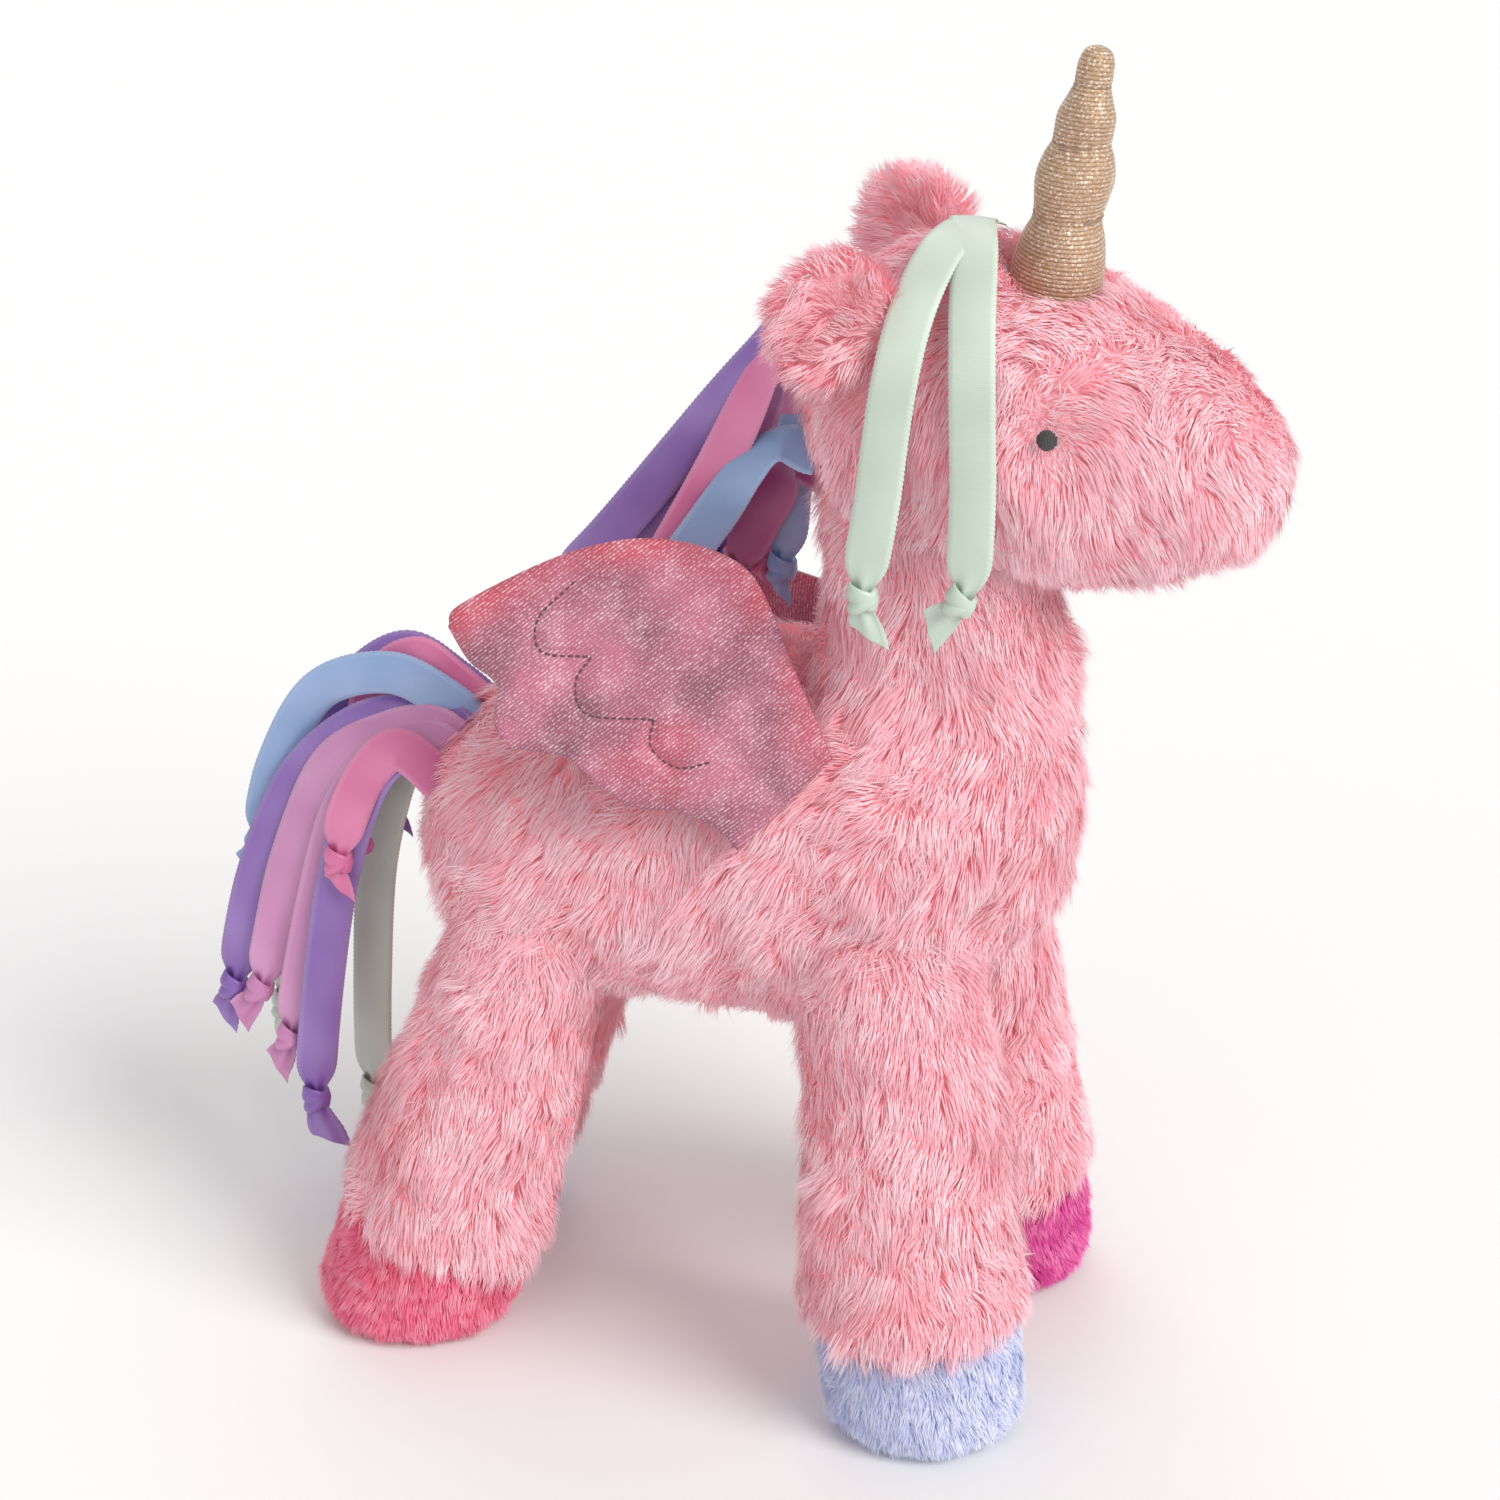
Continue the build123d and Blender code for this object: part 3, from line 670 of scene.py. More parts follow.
def make_skins():
    """Every skin by name; the trunk and the neck share one, filled out at the hips and withers."""
    pink = hide_look("plush_backing", PINK_ROOT, PINK_TIP)
    hip_balls = [(HIPS[corner], (HIP_BALL[corner.split("_")[0]],) * 3) for corner in CORNERS]
    barrel = (HIPS["front_left"] + HIPS["back_right"]) / 2
    withers = [
        (NECK + (-8, 0, 4), (30, 30, 26)), (NECK + (-2, 0, 22), (26, 27, 26)),
        (NECK + (7, 0, 28), (24, 25, 30)), (NECK + (3, 0, 4), (31, 32, 28)),
    ]
    belly = [((barrel[0], 0, 132), (60, 38, 38)), ((barrel[0] + 14, 0, 124), (38, 30, 34))]
    throat = [(NECK_TOP + (0, 0, 6), (27, 27, 20)), (NECK_TOP + (30, 0, 0), (27, 22, 19))]
    trunk = ["body_panel_left", "body_panel_right", "belly_gusset", "body_stuffing"]
    neck = ["neck_panel_left", "neck_panel_right", "neck_stuffing"]
    head = ["head_panel_left", "head_panel_right", "head_stuffing"]
    skins = {
        "body": stuffed_skin("body_skin", trunk + neck, "body", pink, hip_balls + withers + belly),
        "head": stuffed_skin("head_skin", head, "head", pink, throat),
    }
    swell(skins["body"], 0.8, 34, 11)
    sink_eyes(skins["head"])

    def add_skin(part, where, layers, material):
        name = f"{part}_{where}"
        nodes = [f"{name}_{layer}" for layer in layers]
        skins[name] = stuffed_skin(f"{name}_skin", nodes, part, material)

    for side in SIDES:
        add_skin("ear", side, ("inner", "outer"), pink)
    for corner in CORNERS:
        add_skin("leg", corner, ("cover", "stuffing"), pink)
        swell(skins[f"leg_{corner}"], 0.7, 26, 21)
        name, root, tip, _ = HOOF_TONES[corner]
        add_skin("hoof", corner, ("cover", "stuffing"), hide_look(f"hoof_backing_{name}", root, tip))
    return skins


EYE_SINK = 1.8  # how deep the thread pulls the skin in
EYE_HOLLOW = 6.0  # and about how far round the eye


def sink_eyes(skin):
    """Pull the skin in where each eye is sewn through the stuffing."""
    points, normals = get_points(skin.data), get_normals(skin.data)
    for eye in EYES.values():
        away = np.linalg.norm(points - eye, axis=1)
        points = points - normals * (EYE_SINK * np.exp(-(away / EYE_HOLLOW) ** 2))[:, None]
    set_points(skin.data, points)


# ---- how the pile lies, how long it is and where it grows ----

def comb_along(direction):
    """Pile that all lies one way."""
    def comb(points, normals):
        return np.tile(direction, (len(points), 1))
    return comb


def comb_from(centre):
    """Pile that lies away from a point, and down a little."""
    def comb(points, normals):
        return unit(points - centre) + np.array([0, 0, -0.15])
    return comb


def from_eye(points):
    """The way to each point from the eye on its own side."""
    return points - np.where(points[:, 1:2] > 0, EYES["left"], EYES["right"])


def comb_head(points, normals):
    """Away from the eye and down the cheek; back over the crown."""
    away = from_eye(points)
    distance = np.linalg.norm(away, axis=1, keepdims=True)
    cheek = np.array([0.1, 0.0, -0.95]) + unit(away) * (0.35 + 1.6 * np.exp(-(distance / 11) ** 2))
    crown = np.array([-0.9, 0.0, -0.25])
    top = smooth_step(0.35, 0.85, normals[:, 2:3]) * smooth_step(9, 16, distance)
    return cheek * (1 - top) + crown * top


def steady(length):
    """Pile of one length."""
    def measure(points, normals):
        return np.full(len(points), length)
    return measure


HEAD_PILE = 9.0


def head_length(points, normals):
    """Shorter pile at the eyes, the muzzle and the bridge of the nose."""
    eye = 0.32 + 0.68 * smooth_step(2.5, 13, np.linalg.norm(from_eye(points), axis=1))
    muzzle = 1 - 0.25 * smooth_step(40, 70, (points - NECK_TOP) @ HEAD_LINE)
    bridge = 1 - 0.15 * smooth_step(0.3, 0.9, normals[:, 2])
    return HEAD_PILE * eye * muzzle * bridge


EYE_BARE = 2.9  # round the middle of an eye
HORN_BARE = 8.0  # round the horn's line


def away_from_eyes_and_horn(points):
    clear = np.ones(len(points), bool)
    for eye in EYES.values():
        clear &= np.linalg.norm(points - eye, axis=1) > EYE_BARE
    from_root = points - HORN_ROOT
    off_line = from_root - np.outer(from_root @ HORN_LINE, HORN_LINE)
    return clear & ((np.linalg.norm(off_line, axis=1) > HORN_BARE) | (from_root[:, 2] < -15))


def on_side(hand, also=None):
    """A test for points on one side of the toy, which pass another test too."""
    def keep(points):
        near = points[:, 1] * hand >= 0
        return near & also(points) if also else near
    return keep


def make_fur(skins):
    """A coat of pile for each panel of the cover, and a short one for each hoof."""
    thin = 1.0
    pink = strand_looks("plush_strand", PINK_ROOT, PINK_TIP, PINK_PALE)
    body = Pile(pink, steady(9.5), 2.5 * thin, 4.5)
    head = Pile(pink, head_length, 3.0 * thin, 3.6, swirl=0.3)
    ears = Pile(pink, steady(7.5), 3.4 * thin, 3.5, lean=(28, 58), swirl=0.3)
    leg = Pile(pink, steady(9.0), 2.5 * thin, 4.5)
    legs = [skins[f"leg_{corner}"] for corner in CORNERS]

    for number, (side, hand) in enumerate(SIDES.items()):
        trunk_only = on_side(hand, lambda points: points[:, 2] < NECK_LINE)
        coat = grow_pile(f"body_fur_{side}", skins["body"], body, comb_along([-0.5, 0.0, -0.8]),
                         trunk_only, 100 + number, legs)
        finish_body(coat, f"body_panel_{side}")
        neck_only = on_side(hand, lambda points: points[:, 2] >= NECK_LINE)
        coat = grow_pile(f"neck_fur_{side}", skins["body"], body, comb_along([-0.1, 0.0, -1.0]),
                         neck_only, 110 + number, [skins["head"]])
        finish_body(coat, f"neck_panel_{side}")
        coat = grow_pile(f"head_fur_{side}", skins["head"], head, comb_head,
                         on_side(hand, away_from_eyes_and_horn), 120 + number, [skins["body"]])
        settle(coat, "head", "plush_pink", f"head_panel_{side}")
        coat = grow_pile(f"ear_{side}_fur", skins[f"ear_{side}"], ears,
                         comb_from(pivot(f"ear_{side}_fold")), on_side(hand), 130 + number)
        settle(coat, f"ear_{side}", "plush_pink", f"ear_{side}_outer")

    for number, corner in enumerate(CORNERS):
        down = comb_along(unit(SOLES[corner] - HIPS[corner]))
        coat = grow_pile(f"leg_{corner}_fur", skins[f"leg_{corner}"], leg, down,
                         lambda points: points[:, 2] > 0, 140 + number, [skins["body"]])
        settle(coat, f"leg_{corner}", "plush_pink", f"leg_{corner}_cover")
        name, *tones = HOOF_TONES[corner]
        short = Pile(strand_looks(f"hoof_strand_{name}", *tones), steady(4.4), 5.0 * thin, 2.6,
                     lean=(25, 58), curl=0.3, swirl=0.3, width=0.26)
        coat = grow_pile(f"hoof_{corner}_fur", skins[f"hoof_{corner}"], short, down,
                         lambda points: points[:, 2] > 1.2, 150 + number, [skins[f"leg_{corner}"]])
        settle(coat, f"leg_{corner}", f"hoof_{name}", f"hoof_{corner}_cover")


def settle(piece, body, slot, *nodes):
    """Say which body a piece moves with and which nodes it stands for; slot is not used."""
    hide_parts(*nodes)
    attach(piece, body)


def finish_body(piece, *nodes):
    """The same for a piece that runs over the joint between the trunk and the neck."""
    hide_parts(*nodes)
    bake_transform(piece)


def settle_skins(skins):
    finish_body(skins["body"], "belly_gusset", "body_stuffing", "neck_stuffing")
    settle(skins["head"], "head", "plush_pink", "head_stuffing")
    for side in SIDES:
        settle(skins[f"ear_{side}"], f"ear_{side}", "plush_pink", f"ear_{side}_inner")
    for corner in CORNERS:
        settle(skins[f"leg_{corner}"], f"leg_{corner}", "plush_pink", f"leg_{corner}_stuffing")
        name = HOOF_TONES[corner][0]
        settle(skins[f"hoof_{corner}"], f"leg_{corner}", f"hoof_{name}", f"hoof_{corner}_stuffing")


# ---- eyes ----

EYE_STITCHES = 9
EYE_HALF_HEIGHT = 2.35
EYE_HALF_WIDTH = 2.2
EYE_CROWN = 1.5  # of the middle stitch over the sides
EYE_THREAD = 0.36  # its half thickness


def make_eyes():
    """Each eye is a small dome of satin stitches laid side by side."""
    charcoal = thread_look("eye_thread", (0.014, 0.013, 0.016))
    bend, around = 12, 8
    for side, middle in EYES.items():
        out = unit(middle - (middle[0], 0, middle[2] - abs(middle[1]) * 0.25))
        level = unit(np.cross(UP, out))
        rise = np.cross(out, level)
        rings = []
        for number in range(EYE_STITCHES):
            across = (number + 0.5) / EYE_STITCHES * 2 - 1
            half = EYE_HALF_HEIGHT * (1 - across**2) ** 0.5
            for t in np.linspace(-1, 1, bend + 1):
                dome = EYE_CROWN * (1 - 0.8 * across**2 - 0.8 * (t * half / 2.5) ** 2) - 0.3
                centre = middle + level * across * EYE_HALF_WIDTH + rise * t * half + out * dome
                thick = EYE_THREAD * (1 - 0.55 * abs(t) ** 6)
                rings.append(ring_round(centre, thick, circle(around), level, out))
        stitch = tube_faces(bend + 1, around)
        faces = [stitch + number * (bend + 1) * around for number in range(EYE_STITCHES)]
        eye = add_mesh(f"eye_{side}_stitches", np.vstack(rings), faces, [charcoal])
        settle(eye, "head", "eye_charcoal", f"eye_{side}")


# ---- horn ----

# height above the root and radius
HORN_PROFILE = [
    (-6.0, 8.0), (0.0, 9.2), (5.0, 9.8), (11.0, 10.0), (17.5, 9.2), (21.5, 7.9), (23.5, 7.5), (25.5, 7.8),
    (31.5, 8.3), (36.5, 7.3), (39.5, 6.1), (42.0, 6.2), (46.0, 6.3), (50.0, 4.9), (52.5, 3.9), (54.5, 4.0),
    (57.5, 3.8), (60.0, 2.9), (61.1, 1.5), (61.4, 0.0),
]
HORN_PINCHES = (23.5, 39.5, 52.5)
RIB_PITCH = 0.95
RIB_DEPTH = 0.2
HORN_TILT = 0.75  # of the rings, which lean as hand-tied ones do
LEFT = np.array([0, 1.0, 0])
HORN_FRONT = unit(np.cross(LEFT, HORN_LINE))


def horn_middle(height, angles, tilt):
    """The middle of a leaning ring of the horn, raised or lowered for each angle round it."""
    lift = tilt * np.sin(angles + height * 0.05)
    return HORN_ROOT + HORN_LINE * height + np.outer(lift, HORN_LINE)


def make_horn():
    """A knit cone, pinched into four stuffed bulges, with ribs running round it."""
    profile, along = curve_through(HORN_PROFILE, RIB_PITCH / 6)
    angles = circle(120)
    rings, rib_values = [], []
    for (height, radius), distance in zip(profile, along):
        rib = abs(sin(distance / RIB_PITCH * pi)) ** 0.8
        wide = min(radius / 6, 1)
        pinch = sum(np.exp(-((height - h) / 2.2) ** 2) for h in HORN_PINCHES)
        folds = 0.16 * pinch * np.cos(13 * angles + height * 0.3)
        lumps = 0.25 * np.sin(2 * angles + height * 0.21) * wide
        reach = np.maximum(radius + folds + lumps + RIB_DEPTH * rib, 0.05)
        middle = horn_middle(height, angles, HORN_TILT * wide)
        rings.append(ring_round(middle, reach, angles, HORN_FRONT, LEFT))
        rib_values.append(np.full(len(angles), rib))
    faces = tube_faces(len(rings), len(angles))
    piece = add_mesh("horn_knit", np.vstack(rings), [faces], [knit_look("lurex_knit")])
    set_numbers(piece, "rib", np.concatenate(rib_values))
    settle(piece, "horn", "knit_gold", "horn_cover", "horn_stuffing")
    make_pinch_threads()


def make_pinch_threads():
    """The gathering threads, half sunk in the horn's three pinches."""
    angles = circle(90)
    outward = ring_round(0, 1, angles, HORN_FRONT, LEFT)
    rings = []
    for height in HORN_PINCHES:
        radius = np.interp(height, *zip(*HORN_PROFILE)) - 0.05
        middles = horn_middle(height, angles, HORN_TILT) + outward * radius
        rings += [ring_round(middle, 0.3, circle(8), out, HORN_LINE) for middle, out in zip(middles, outward)]
    loop = tube_faces(len(angles), 8, loop=True)
    faces = [loop + number * len(angles) * 8 for number in range(len(HORN_PINCHES))]
    gold = thread_look("pinch_thread", (0.40, 0.25, 0.14))
    thread = add_mesh("horn_pinch_thread", np.vstack(rings), faces, [gold])
    settle(thread, "horn", "thread_gold", "horn_thread")


# ---- satin ribbons ----

RIBBON = 10.0
RIBBON_HALF_THICK = 0.14
RIBBON_CURL = 0.4  # of its middle over its edges
END_SLANT = 3.0  # of the cut end, and over how far the cut shows
END_CUT = 8.0
KNOT_PINCH = 5.0  # how far from a knot the ribbon is drawn together
PICOT_PITCH = 1.15
PICOT = 0.22
ACROSS = 9  # points across a ribbon
SATIN = {
    "purple": (0.245, 0.09, 0.50),
    "light_blue": (0.27, 0.44, 0.78),
    "orchid": (0.70, 0.25, 0.55),
    "hot_pink": (0.84, 0.16, 0.42),
    "magenta": (0.52, 0.07, 0.30),
    "mint": (0.60, 0.73, 0.60),
}
SATIN_LOOKS = {}


def satin(colour):
    if colour not in SATIN_LOOKS:
        SATIN_LOOKS[colour] = satin_look(f"satin_{colour}", SATIN[colour])
    return SATIN_LOOKS[colour]


def ribbon_frame(centre, facings):
    """Tangent, width and face directions along a ribbon whose face turns between facings."""
    tangent = unit(np.gradient(centre, axis=0))
    steps = np.linspace(0, 1, len(centre))
    keys = np.linspace(0, 1, len(facings))
    facing = np.stack([np.interp(steps, keys, np.array(facings, float)[:, k]) for k in range(3)], -1)
    width = unit(np.cross(facing, tangent))
    return tangent, width, np.cross(tangent, width)


def make_ribbon(name, colour, route, facings, knot_back, body, node):
    """A satin ribbon along a route, with an overhand knot knot_back millimetres from its end."""
    centre, along = curve_through(route, PICOT_PITCH / 4)
    tangent, width, face = ribbon_frame(centre, facings)
    length = along[-1]
    tied = length - knot_back
    pinch = np.exp(-((along - tied) / KNOT_PINCH) ** 2)
    tail = smooth_step(tied, tied + 7, along)
    half = RIBBON / 2 * (1 - 0.66 * pinch) * (1 - 0.2 * tail)
    fold = 1.7 * pinch + 0.7 * tail
    picot = PICOT * np.abs(np.sin(along / PICOT_PITCH * pi)) * (1 - pinch)
    cut = END_SLANT * np.maximum(0, 1 - (length - along) / END_CUT)
    u = np.linspace(-1, 1, ACROSS)
    spread = half[:, None] * u
    spread[:, 0] -= picot
    spread[:, -1] += picot
    lift = RIBBON_CURL * (1 - u**2) + fold[:, None] * (np.cos(u * pi * 1.5) * 0.5 + 0.25 * u)
    moves = ((spread, width), (lift, face), (cut[:, None] * u, tangent))
    top = centre[:, None] + sum(amount[..., None] * line[:, None] for amount, line in moves)
    thick = face[:, None] * RIBBON_HALF_THICK
    rings = np.concatenate([top + thick, (top - thick)[:, ::-1]], axis=1)
    around = 2 * ACROSS
    cap = np.array([[k, k + 1, around - 2 - k, around - 1 - k] for k in range(ACROSS - 1)])
    faces = [tube_faces(len(rings), around), cap[:, ::-1], cap + (len(rings) - 1) * around]
    piece = add_mesh(name, rings.reshape(-1, 3), faces, [satin(colour)])
    round_u = np.concatenate([u, u[::-1]])
    set_uv(piece, np.stack([np.tile(round_u * RIBBON / 2, len(rings)), np.repeat(along, around)], -1))
    set_numbers(piece, "edge", np.tile(np.abs(round_u) > 0.9, len(rings)))
    at = int(np.argmin(np.abs(along - tied)))
    knot = make_knot(f"{name}_knot", colour, centre[at], tangent[at], width[at], face[at])
    settle(knot, body, f"satin_{colour}", node)
    settle(piece, body, f"satin_{colour}", node)


# half width, half depth, tilt, half length and place along the ribbon of a knot's two bands
KNOT_BANDS = [(2.9, 2.3, 0.34, 2.3, 0.0), (2.6, 2.6, -0.62, 1.7, 0.9)]


def make_knot(name, colour, centre, tangent, width, face):
    """The turns of an overhand knot: two soft folded bands that cross in front."""
    points, places = [], []
    turns, angles = circle(48), circle(14)
    for wide, deep, tilt, half, shift in KNOT_BANDS:
        for t in turns:
            out = width * cos(t) * wide + face * sin(t) * deep
            middle = centre + out + tangent * (tilt * wide * cos(t + 0.4) + shift)
            thick = (0.75 + 0.16 * np.cos(3 * angles + t)) * np.sin(angles)
            points.append(middle + np.outer(half * np.cos(angles), tangent) + np.outer(thick, unit(out)))
            places += [(half * cos(angle) * 2, t * wide) for angle in angles]
    band = tube_faces(len(turns), len(angles), loop=True)
    faces = [band, band + len(turns) * len(angles)]
    knot = add_mesh(name, np.vstack(points), faces, [satin(colour)])
    set_uv(knot, np.array(places))
    set_numbers(knot, "edge", np.zeros(len(places)))
    return knot


# The routes count x from 74 mm behind the horn's root. Each ribbon of a bundle: its colour, y at
# its root and at its end, its route as x and z, and how far its knot is from its end.
ROUTE_START = HORN_ROOT[0] - 74.0
OPEN = (0.15, -1.0, 0.25)  # the way a hanging ribbon's face looks
TWIST = 0.35  # the most that it strays from that
TAIL = [
    ("hot_pink", 3, 2, [(-72, 160), (-81, 165), (-91, 157), (-96, 138), (-95, 116), (-94, 104)], 10),
    ("purple", 6, 5, [(-72, 159), (-85, 165), (-99, 154), (-108, 135), (-110, 115), (-109, 104)], 9),
    ("light_blue", -3, -5, [(-72, 158), (-86, 163), (-104, 156), (-116, 135), (-122, 113), (-126, 104)], 9),
    ("light_blue", 9, 10, [(-72, 156), (-85, 158), (-98, 148), (-106, 129), (-108, 111), (-107, 101)], 9),
    ("purple", -6, -12, [(-72, 154), (-91, 151), (-109, 134), (-121, 106), (-128, 76), (-131, 65)], 10),
    ("orchid", -9, -14, [(-72, 153), (-85, 150), (-100, 139), (-111, 112), (-119, 79), (-126, 67)], 11),
    ("orchid", -12, -17, [(-72, 151), (-85, 145), (-95, 130), (-103, 102), (-111, 66), (-115, 56)], 10),
    ("purple", -15, -19, [(-74, 148), (-85, 141), (-94, 119), (-100, 88), (-104, 51), (-100, 38)], 13),
    ("mint", 12, 4, [(-72, 151), (-91, 144), (-106, 121), (-115, 90), (-122, 62), (-120, 50)], 12),
    ("hot_pink", -18, -20, [(-77, 150), (-85, 144), (-91, 132), (-94, 120), (-94, 111)], 8),
    ("purple", 15, 14, [(-75, 148), (-85, 143), (-91, 133), (-93, 122), (-92, 113)], 8),
    ("mint", 0, 0, [(-76, 147), (-84, 137), (-92, 110), (-95, 76), (-96, 44), (-96, 35)], 9),
]
MANE = [
    ("purple", -6, -5, [(21.5, 272), (8, 253), (-11, 228), (-29, 205), (-41, 192), (-47, 186)], 8),
    ("purple", -3, -2, [(20, 266), (5, 243), (-10, 221), (-24, 203), (-33, 192), (-39, 185)], 8),
    ("hot_pink", -8.5, -8.5, [(19, 266), (11, 252), (0, 228), (-12, 205), (-19, 192), (-24, 185)], 8),
    ("orchid", 0, 0, [(15, 257), (8, 240), (-1, 220), (-9, 204), (-15, 193), (-19, 186)], 8),
    ("light_blue", -11, -11, [(16, 236), (8, 229), (0, 217), (-8, 205), (-14, 196), (-18, 188)], 8),
    ("magenta", 3, 3, [(15, 226), (9, 216), (3, 204), (0, 195), (-1, 190)], 7),
    ("light_blue", 6, 6, [(15, 236), (13, 222), (12, 208), (11, 199), (10, 192)], 7),
    ("hot_pink", 9, 9, [(14, 243), (8, 228), (5, 213), (5, 201), (6, 193)], 7),
    ("purple", 12, 12, [(14, 250), (2, 231), (-4, 213), (-8, 199), (-10, 190)], 7),
]


def make_bundle(bundle, ribbons, start_facing, tuck, seed):
    """Ribbons of one bundle, each rooted a little way inside the stuffed form, by tuck."""
    rng = np.random.default_rng(seed)
    for number, (colour, y_root, y_end, route, knot_back) in enumerate(ribbons):
        ys = np.linspace(y_root, y_end, len(route))
        places = [np.array([x + ROUTE_START, y, z]) for (x, z), y in zip(route, ys)]
        places.insert(0, places[0] + tuck)
        a, b, c = rng.uniform(-TWIST, TWIST, 3)
        facings = [start_facing, (OPEN[0] + a, OPEN[1], OPEN[2] + b), (OPEN[0] + c, OPEN[1], 0.1)]
        name = f"{bundle}_ribbon_{number + 1}_{colour}"
        make_ribbon(name, colour, places, facings, knot_back, bundle, f"{bundle}_ribbons_{colour}")


# the forelock's fold over the crown, its tails' points from there and their knots from the end
FORELOCK_FOLD = np.array([55 + ROUTE_START, -4, 288.0])
FORELOCK_TAILS = {
    "rear": ([(3, 8, -1), (2, 0, 1.5), (-1, -15, -0.5), (-3.5, -30, -10), (-5.5, -38, -26),
              (-8, -39.5, -50), (-11, -39.5, -72), (-9.5, -39, -83)], 10),
    "front": ([(2, 8, -1), (2, 0, 2.0), (6, -14, -0.5), (9.5, -29, -11), (12, -37.5, -27),
               (13, -39, -50), (11.5, -39, -70), (4, -39, -80)], 11),
}


def make_forelock():
    """One mint ribbon folded over the crown, its two tails hanging down the right cheek."""
    facings = [(0, 0.1, 1), (0, -0.8, 0.9), (0, -1, 0.2), (0, -1, 0), (0, -1, 0.05)]
    for name, (offsets, knot_back) in FORELOCK_TAILS.items():
        places = [FORELOCK_FOLD + offset for offset in offsets]
        make_ribbon(f"forelock_tail_{name}", "mint", places, facings, knot_back, "forelock",
                    "forelock_ribbon")


# ---- wings ----
# A wing's flat points are counted from its hinge, backwards and up.

WING_FACING = {"left": (0.14, 0.97, 0.11), "right": (0.22, -0.92, 0.32)}
WING_DROOP = {"left": 50.0, "right": 0.0}  # degrees
WING_CROWN = [
    (10.5, 10.8), (0.5, 32.5), (-9.5, 53.0), (-29.5, 59.5), (-50.0, 56.0), (-74.0, 44.0), (-77.0, 38.5),
]
WING_TRAIL = [
    (-77.0, 38.5), (-72.5, 31.0), (-66.0, 25.5), (-66.5, 17.5), (-62.5, 11.5), (-50.0, 9.5),
    (-41.5, 2.5), (-34.0, -1.8), (-24.5, -2.2), (-15.5, -5.8), (-10.5, -10.8),
]
WING_SCALLOPS = [
    [(-48.5, 49.5), (-56.5, 41.0), (-55.5, 33.5), (-44.5, 32.5)],
    [(-44.5, 32.5), (-48.0, 26.5), (-45.0, 19.5), (-30.0, 18.8)],
    [(-30.0, 18.8), (-30.5, 12.5), (-24.5, 8.0), (-15.5, 10.0)],
]
WING_HOLLOWS = [([(-26.0, 14.0)], 0.7), ([(-36.0, 8.0), (-28.0, 3.5)], 0.6)]  # painted coral shade, and how much
WING_HALF_THICK = 2.4
WING_HEM = 0.55  # half thickness at the sewn edge
WING_HINGE = 0.9  # and at the root
WING_GRID = 1.1  # between the points of its mesh


def near_distance(points, line):
    """Distance from each flat point to the nearest point of a dense line."""
    gaps = points[:, None, :] - line[None, :, :]
    return np.sqrt((gaps**2).sum(-1).min(1))


def wing_axes(side):
    hand = SIDES[side]
    out = unit(WING_FACING[side])
    level = unit(np.cross(UP, out)) * -hand
    upright = np.cross(out, level) * -hand
    droop = radians(WING_DROOP[side])
    along = level * cos(droop) + upright * sin(droop)
    return along, np.cross(along, out) * hand, out


def wing_sheet():
    """The flat wing: its points, triangles, outline, crown edge and root edge."""
    crown, _ = curve_through(WING_CROWN, WING_GRID)
    trail, _ = curve_through(WING_TRAIL, WING_GRID)
    root = np.linspace(WING_TRAIL[-1], WING_CROWN[0], 27)
    outline = np.vstack([crown[:-1], trail[:-1], root[:-1]])
    low, high = outline.min(0), outline.max(0)
    rng = np.random.default_rng(7)
    xs, ys = np.meshgrid(np.arange(low[0], high[0], WING_GRID), np.arange(low[1], high[1], WING_GRID))
    grid = np.stack([xs.ravel(), ys.ravel()], -1) + rng.uniform(-0.12, 0.12, (xs.size, 2))
    grid = grid[near_distance(grid, outline) > 0.6 * WING_GRID]
    corners = [Vector(p) for p in np.vstack([outline, grid])]
    rim = [list(range(len(outline)))]
    verts, _, triangles, *_ = delaunay_2d_cdt(corners, [], rim, 1, 1e-5)
    flat = np.array([tuple(v) for v in verts])
    return flat, np.array([tuple(t) for t in triangles], np.int32), outline, crown, root


def wing_padding(flat, outline, root, wobble):
    """How far the wing's middle waves, and its half thickness, at each flat point."""
    from_edge, from_root = near_distance(flat, outline), near_distance(flat, root)
    stitches = np.vstack([curve_through(scallop, 0.6)[0] for scallop in WING_SCALLOPS])
    from_stitch = near_distance(flat, stitches)
    plump = 1 - np.exp(-from_edge / 3.4)
    dent = 0.7 * np.exp(-((from_stitch / 1.9) ** 2)) * smooth_step(0, 4, from_edge)
    full = (WING_HALF_THICK - WING_HEM) * plump * (1 - dent) * (1 + 0.16 * wobble[:, 0])
    thick = WING_HEM + full
    thick = np.where(from_root < 4, WING_HINGE + (thick - WING_HINGE) * from_root / 4, thick)
    ripple = 0.8 * wobble[:, 1] * smooth_step(0, 14, from_root)
    wave = np.sin(flat[:, 0] * 0.23 + flat[:, 1] * 0.31)
    return ripple + 0.5 * wave * np.exp(-from_edge / 7) * smooth_step(4, 18, from_root), thick


def painted_edge_shade(flat, crown, wobble):
    """How much painted coral shade the velvet gets: along the crown edge and in two hollows."""
    amount = np.exp(-((near_distance(flat, crown) / 7.0) ** 2)) * (0.75 + 0.35 * wobble[:, 2])
    for places, deep in WING_HOLLOWS:
        amount = amount + np.exp(-(near_distance(flat, np.array(places)) / 6.0) ** 2) * deep
    return np.clip(amount, 0, 1)


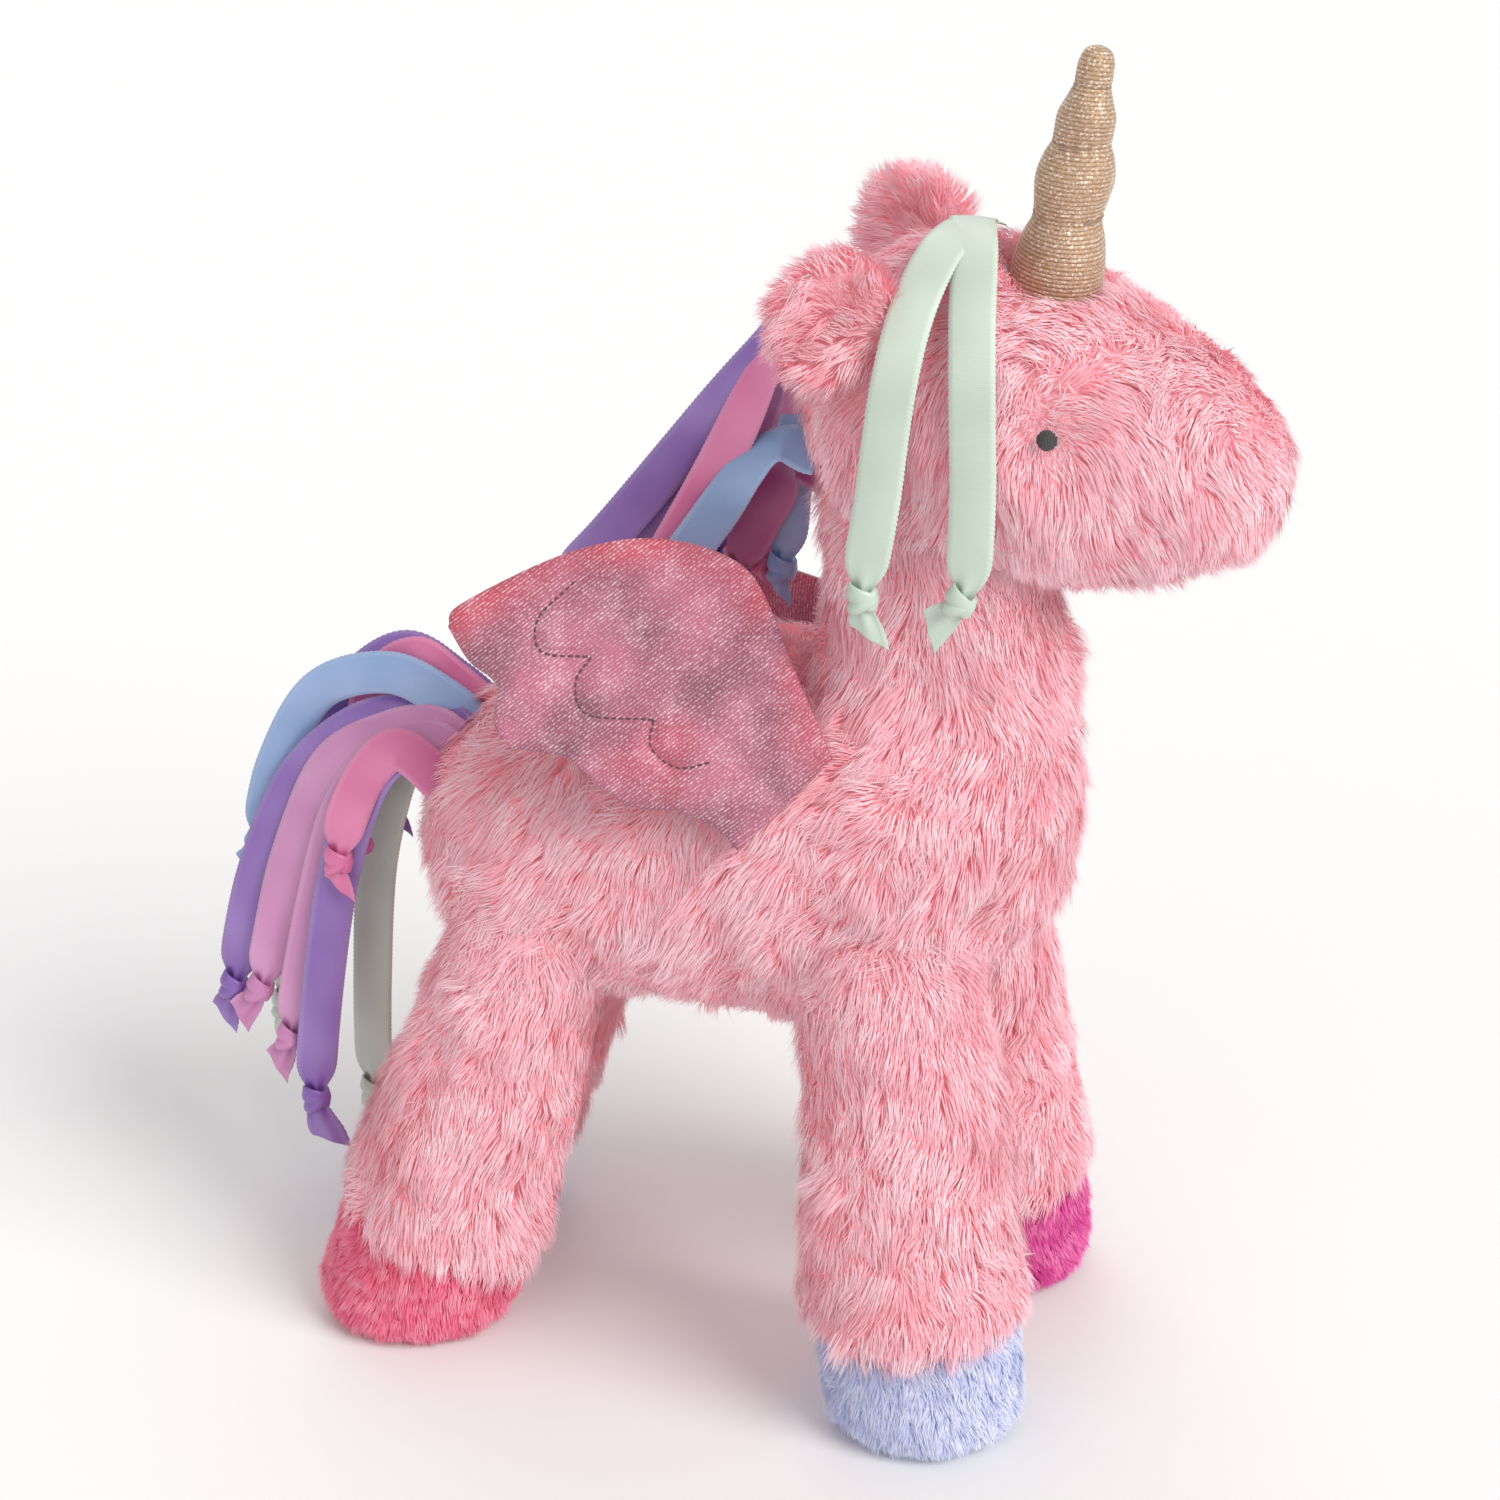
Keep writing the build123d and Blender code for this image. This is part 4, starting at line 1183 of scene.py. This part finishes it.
def make_wing(side):
    """Two layers of velvet sewn round the edge, lightly stuffed and stitched in three scallops."""
    flat, triangles, outline, crown, root = wing_sheet()
    wobble = wander(np.column_stack([flat, np.zeros(len(flat))]), 17, 31)
    middle, thick = wing_padding(flat, outline, root, wobble)
    along, rise, out = axes = wing_axes(side)
    origin = pivot(f"wing_{side}_flap")
    places = origin + flat[:, :1] * along + flat[:, 1:] * rise
    points = np.vstack([places + np.outer(middle + thick, out), places + np.outer(middle - thick, out)])

    count = len(flat)
    rim = np.arange(len(outline))
    beside = np.roll(rim, -1)
    sides = np.stack([rim, beside, beside + count, rim + count], -1)
    facing = np.cross(along, rise) @ out
    front = triangles if facing > 0 else triangles[:, ::-1]
    x, y = outline.T
    winding = (x * np.roll(y, -1) - y * np.roll(x, -1)).sum()
    if (winding > 0) == (facing > 0):
        sides = sides[:, ::-1]
    velvet = velvet_look(f"velvet_{side}")
    wing = add_mesh(f"wing_{side}_velvet", points, [front, front[:, ::-1] + count, sides], [velvet])
    set_uv(wing, np.vstack([flat, flat + (200, 0)]))
    # where the velvet gets its painted coral shade
    set_numbers(wing, "rim", np.tile(painted_edge_shade(flat, crown, wobble), 2))
    settle(wing, f"wing_{side}", "velvet_rose", f"wing_{side}_front_velvet", f"wing_{side}_wadding",
           f"wing_{side}_back_velvet")
    make_wing_stitches(side, flat, middle, thick, axes, origin)


STITCH = 1.35  # its length, the gap after it and its thread's radius
STITCH_GAP = 0.35
STITCH_RADIUS = 0.27


def make_wing_stitches(side, flat, middle, thick, axes, origin):
    """Backstitches through the wing: short thick threads end to end along each scallop."""
    along, rise, out = axes
    tree = KDTree(len(flat))
    for index, (x, y) in enumerate(flat):
        tree.insert((x, y, 0), index)
    tree.balance()
    angles, bend = circle(8), 7
    rings, faces = [], []
    for scallop in WING_SCALLOPS:
        line, distance = curve_through(scallop, 0.25)
        start = 0.0
        while start + STITCH < distance[-1]:
            steps = np.linspace(start, start + STITCH, bend)
            spots = np.stack([np.interp(steps, distance, column) for column in line.T], -1)
            heading = unit(spots[-1] - spots[0])
            beside = np.cross(out, along * heading[0] + rise * heading[1])
            for layer in (1, -1):
                faces.append(tube_faces(bend, len(angles)) + len(rings) * len(angles))
                for (x, y), t in zip(spots, np.linspace(-1, 1, bend)):
                    index = tree.find((x, y, 0))[1]
                    height = middle[index] + layer * (thick[index] + 0.16 * (1 - t**4) - 0.1)
                    centre = origin + along * x + rise * y + out * height
                    rings.append(ring_round(centre, STITCH_RADIUS * (1 - 0.6 * t**6), angles, beside, out))
            start += STITCH + STITCH_GAP
    maroon = thread_look(f"wing_thread_{side}", (0.12, 0.01, 0.035))
    thread = add_mesh(f"wing_{side}_stitches", np.vstack(rings), faces, [maroon])
    settle(thread, f"wing_{side}", "thread_maroon", f"wing_{side}_stitching")


# ---- stage, light and camera ----

def aim(name, data, place, line):
    """Put a camera or a lamp at a place, looking along a line."""
    holder = link(name, data)
    holder.location = Vector(place) * MM
    holder.rotation_mode = "QUATERNION"
    holder.rotation_quaternion = Vector(line).to_track_quat("-Z", "Y")
    return holder


def make_camera():
    azimuth, elevation = radians(VIEW_AZIMUTH), radians(VIEW_ELEVATION)
    back = np.array([sin(azimuth) * cos(elevation), -cos(azimuth) * cos(elevation), sin(elevation)])
    lens = bpy.data.cameras.new("camera")
    lens.lens = VIEW_LENS
    lens.sensor_width = SENSOR
    bpy.context.scene.camera = aim("camera", lens, np.array(VIEW_TARGET) + back * VIEW_DISTANCE, -back)


def make_stage():
    """A pale floor that reaches past every view."""
    reach, cells = 2600.0, 24
    line = np.linspace(-reach, reach, cells)
    xs, ys = np.meshgrid(line, line, indexing="ij")
    points = np.stack([xs.ravel(), ys.ravel(), np.full(xs.size, -0.15)], -1)
    look = Look("floor", (0.9, 0.9, 0.9), 0.9)
    look.bump(look.noise(look.place(), 0.05), 0.2, 0.2)
    faces = tube_faces(cells, cells, closed_round=False)[:, ::-1]
    floor = add_mesh("floor", points, [faces], [look.material])


# name, place, spread in degrees, strength and colour
LAMPS = [
    ("key", (1000, -480, 900), 35, 2.1, (1.0, 0.985, 0.97)),
    ("fill", (-200, -900, 500), 50, 0.25, (0.97, 0.96, 1.0)),
    ("rim", (-500, 800, 600), 45, 0.7, (1.0, 0.98, 0.98)),
]


def make_lights():
    world = bpy.data.worlds.new("studio")
    world.use_nodes = True
    background = world.node_tree.nodes["Background"]
    background.inputs["Color"].default_value = (1.0, 0.99, 0.985, 1)
    background.inputs["Strength"].default_value = 0.55
    bpy.context.scene.world = world
    for name, place, spread, power, colour in LAMPS:
        lamp = bpy.data.lights.new(name, "SUN")
        lamp.energy = power
        lamp.angle = radians(spread)
        lamp.color = colour
        aim(name, lamp, place, -Vector(place))
    bpy.context.scene.view_settings.view_transform = "Standard"


make_camera()
make_stage()
make_lights()
skins = make_skins()
make_fur(skins)
settle_skins(skins)
make_eyes()
make_horn()
make_forelock()
make_bundle("mane", MANE, (-0.7, -0.2, 0.7), (9, 0, -3), 41)
make_bundle("tail", TAIL, (-0.2, -0.5, 0.85), (12, 0, -9), 43)
for wing_side in SIDES:
    make_wing(wing_side)
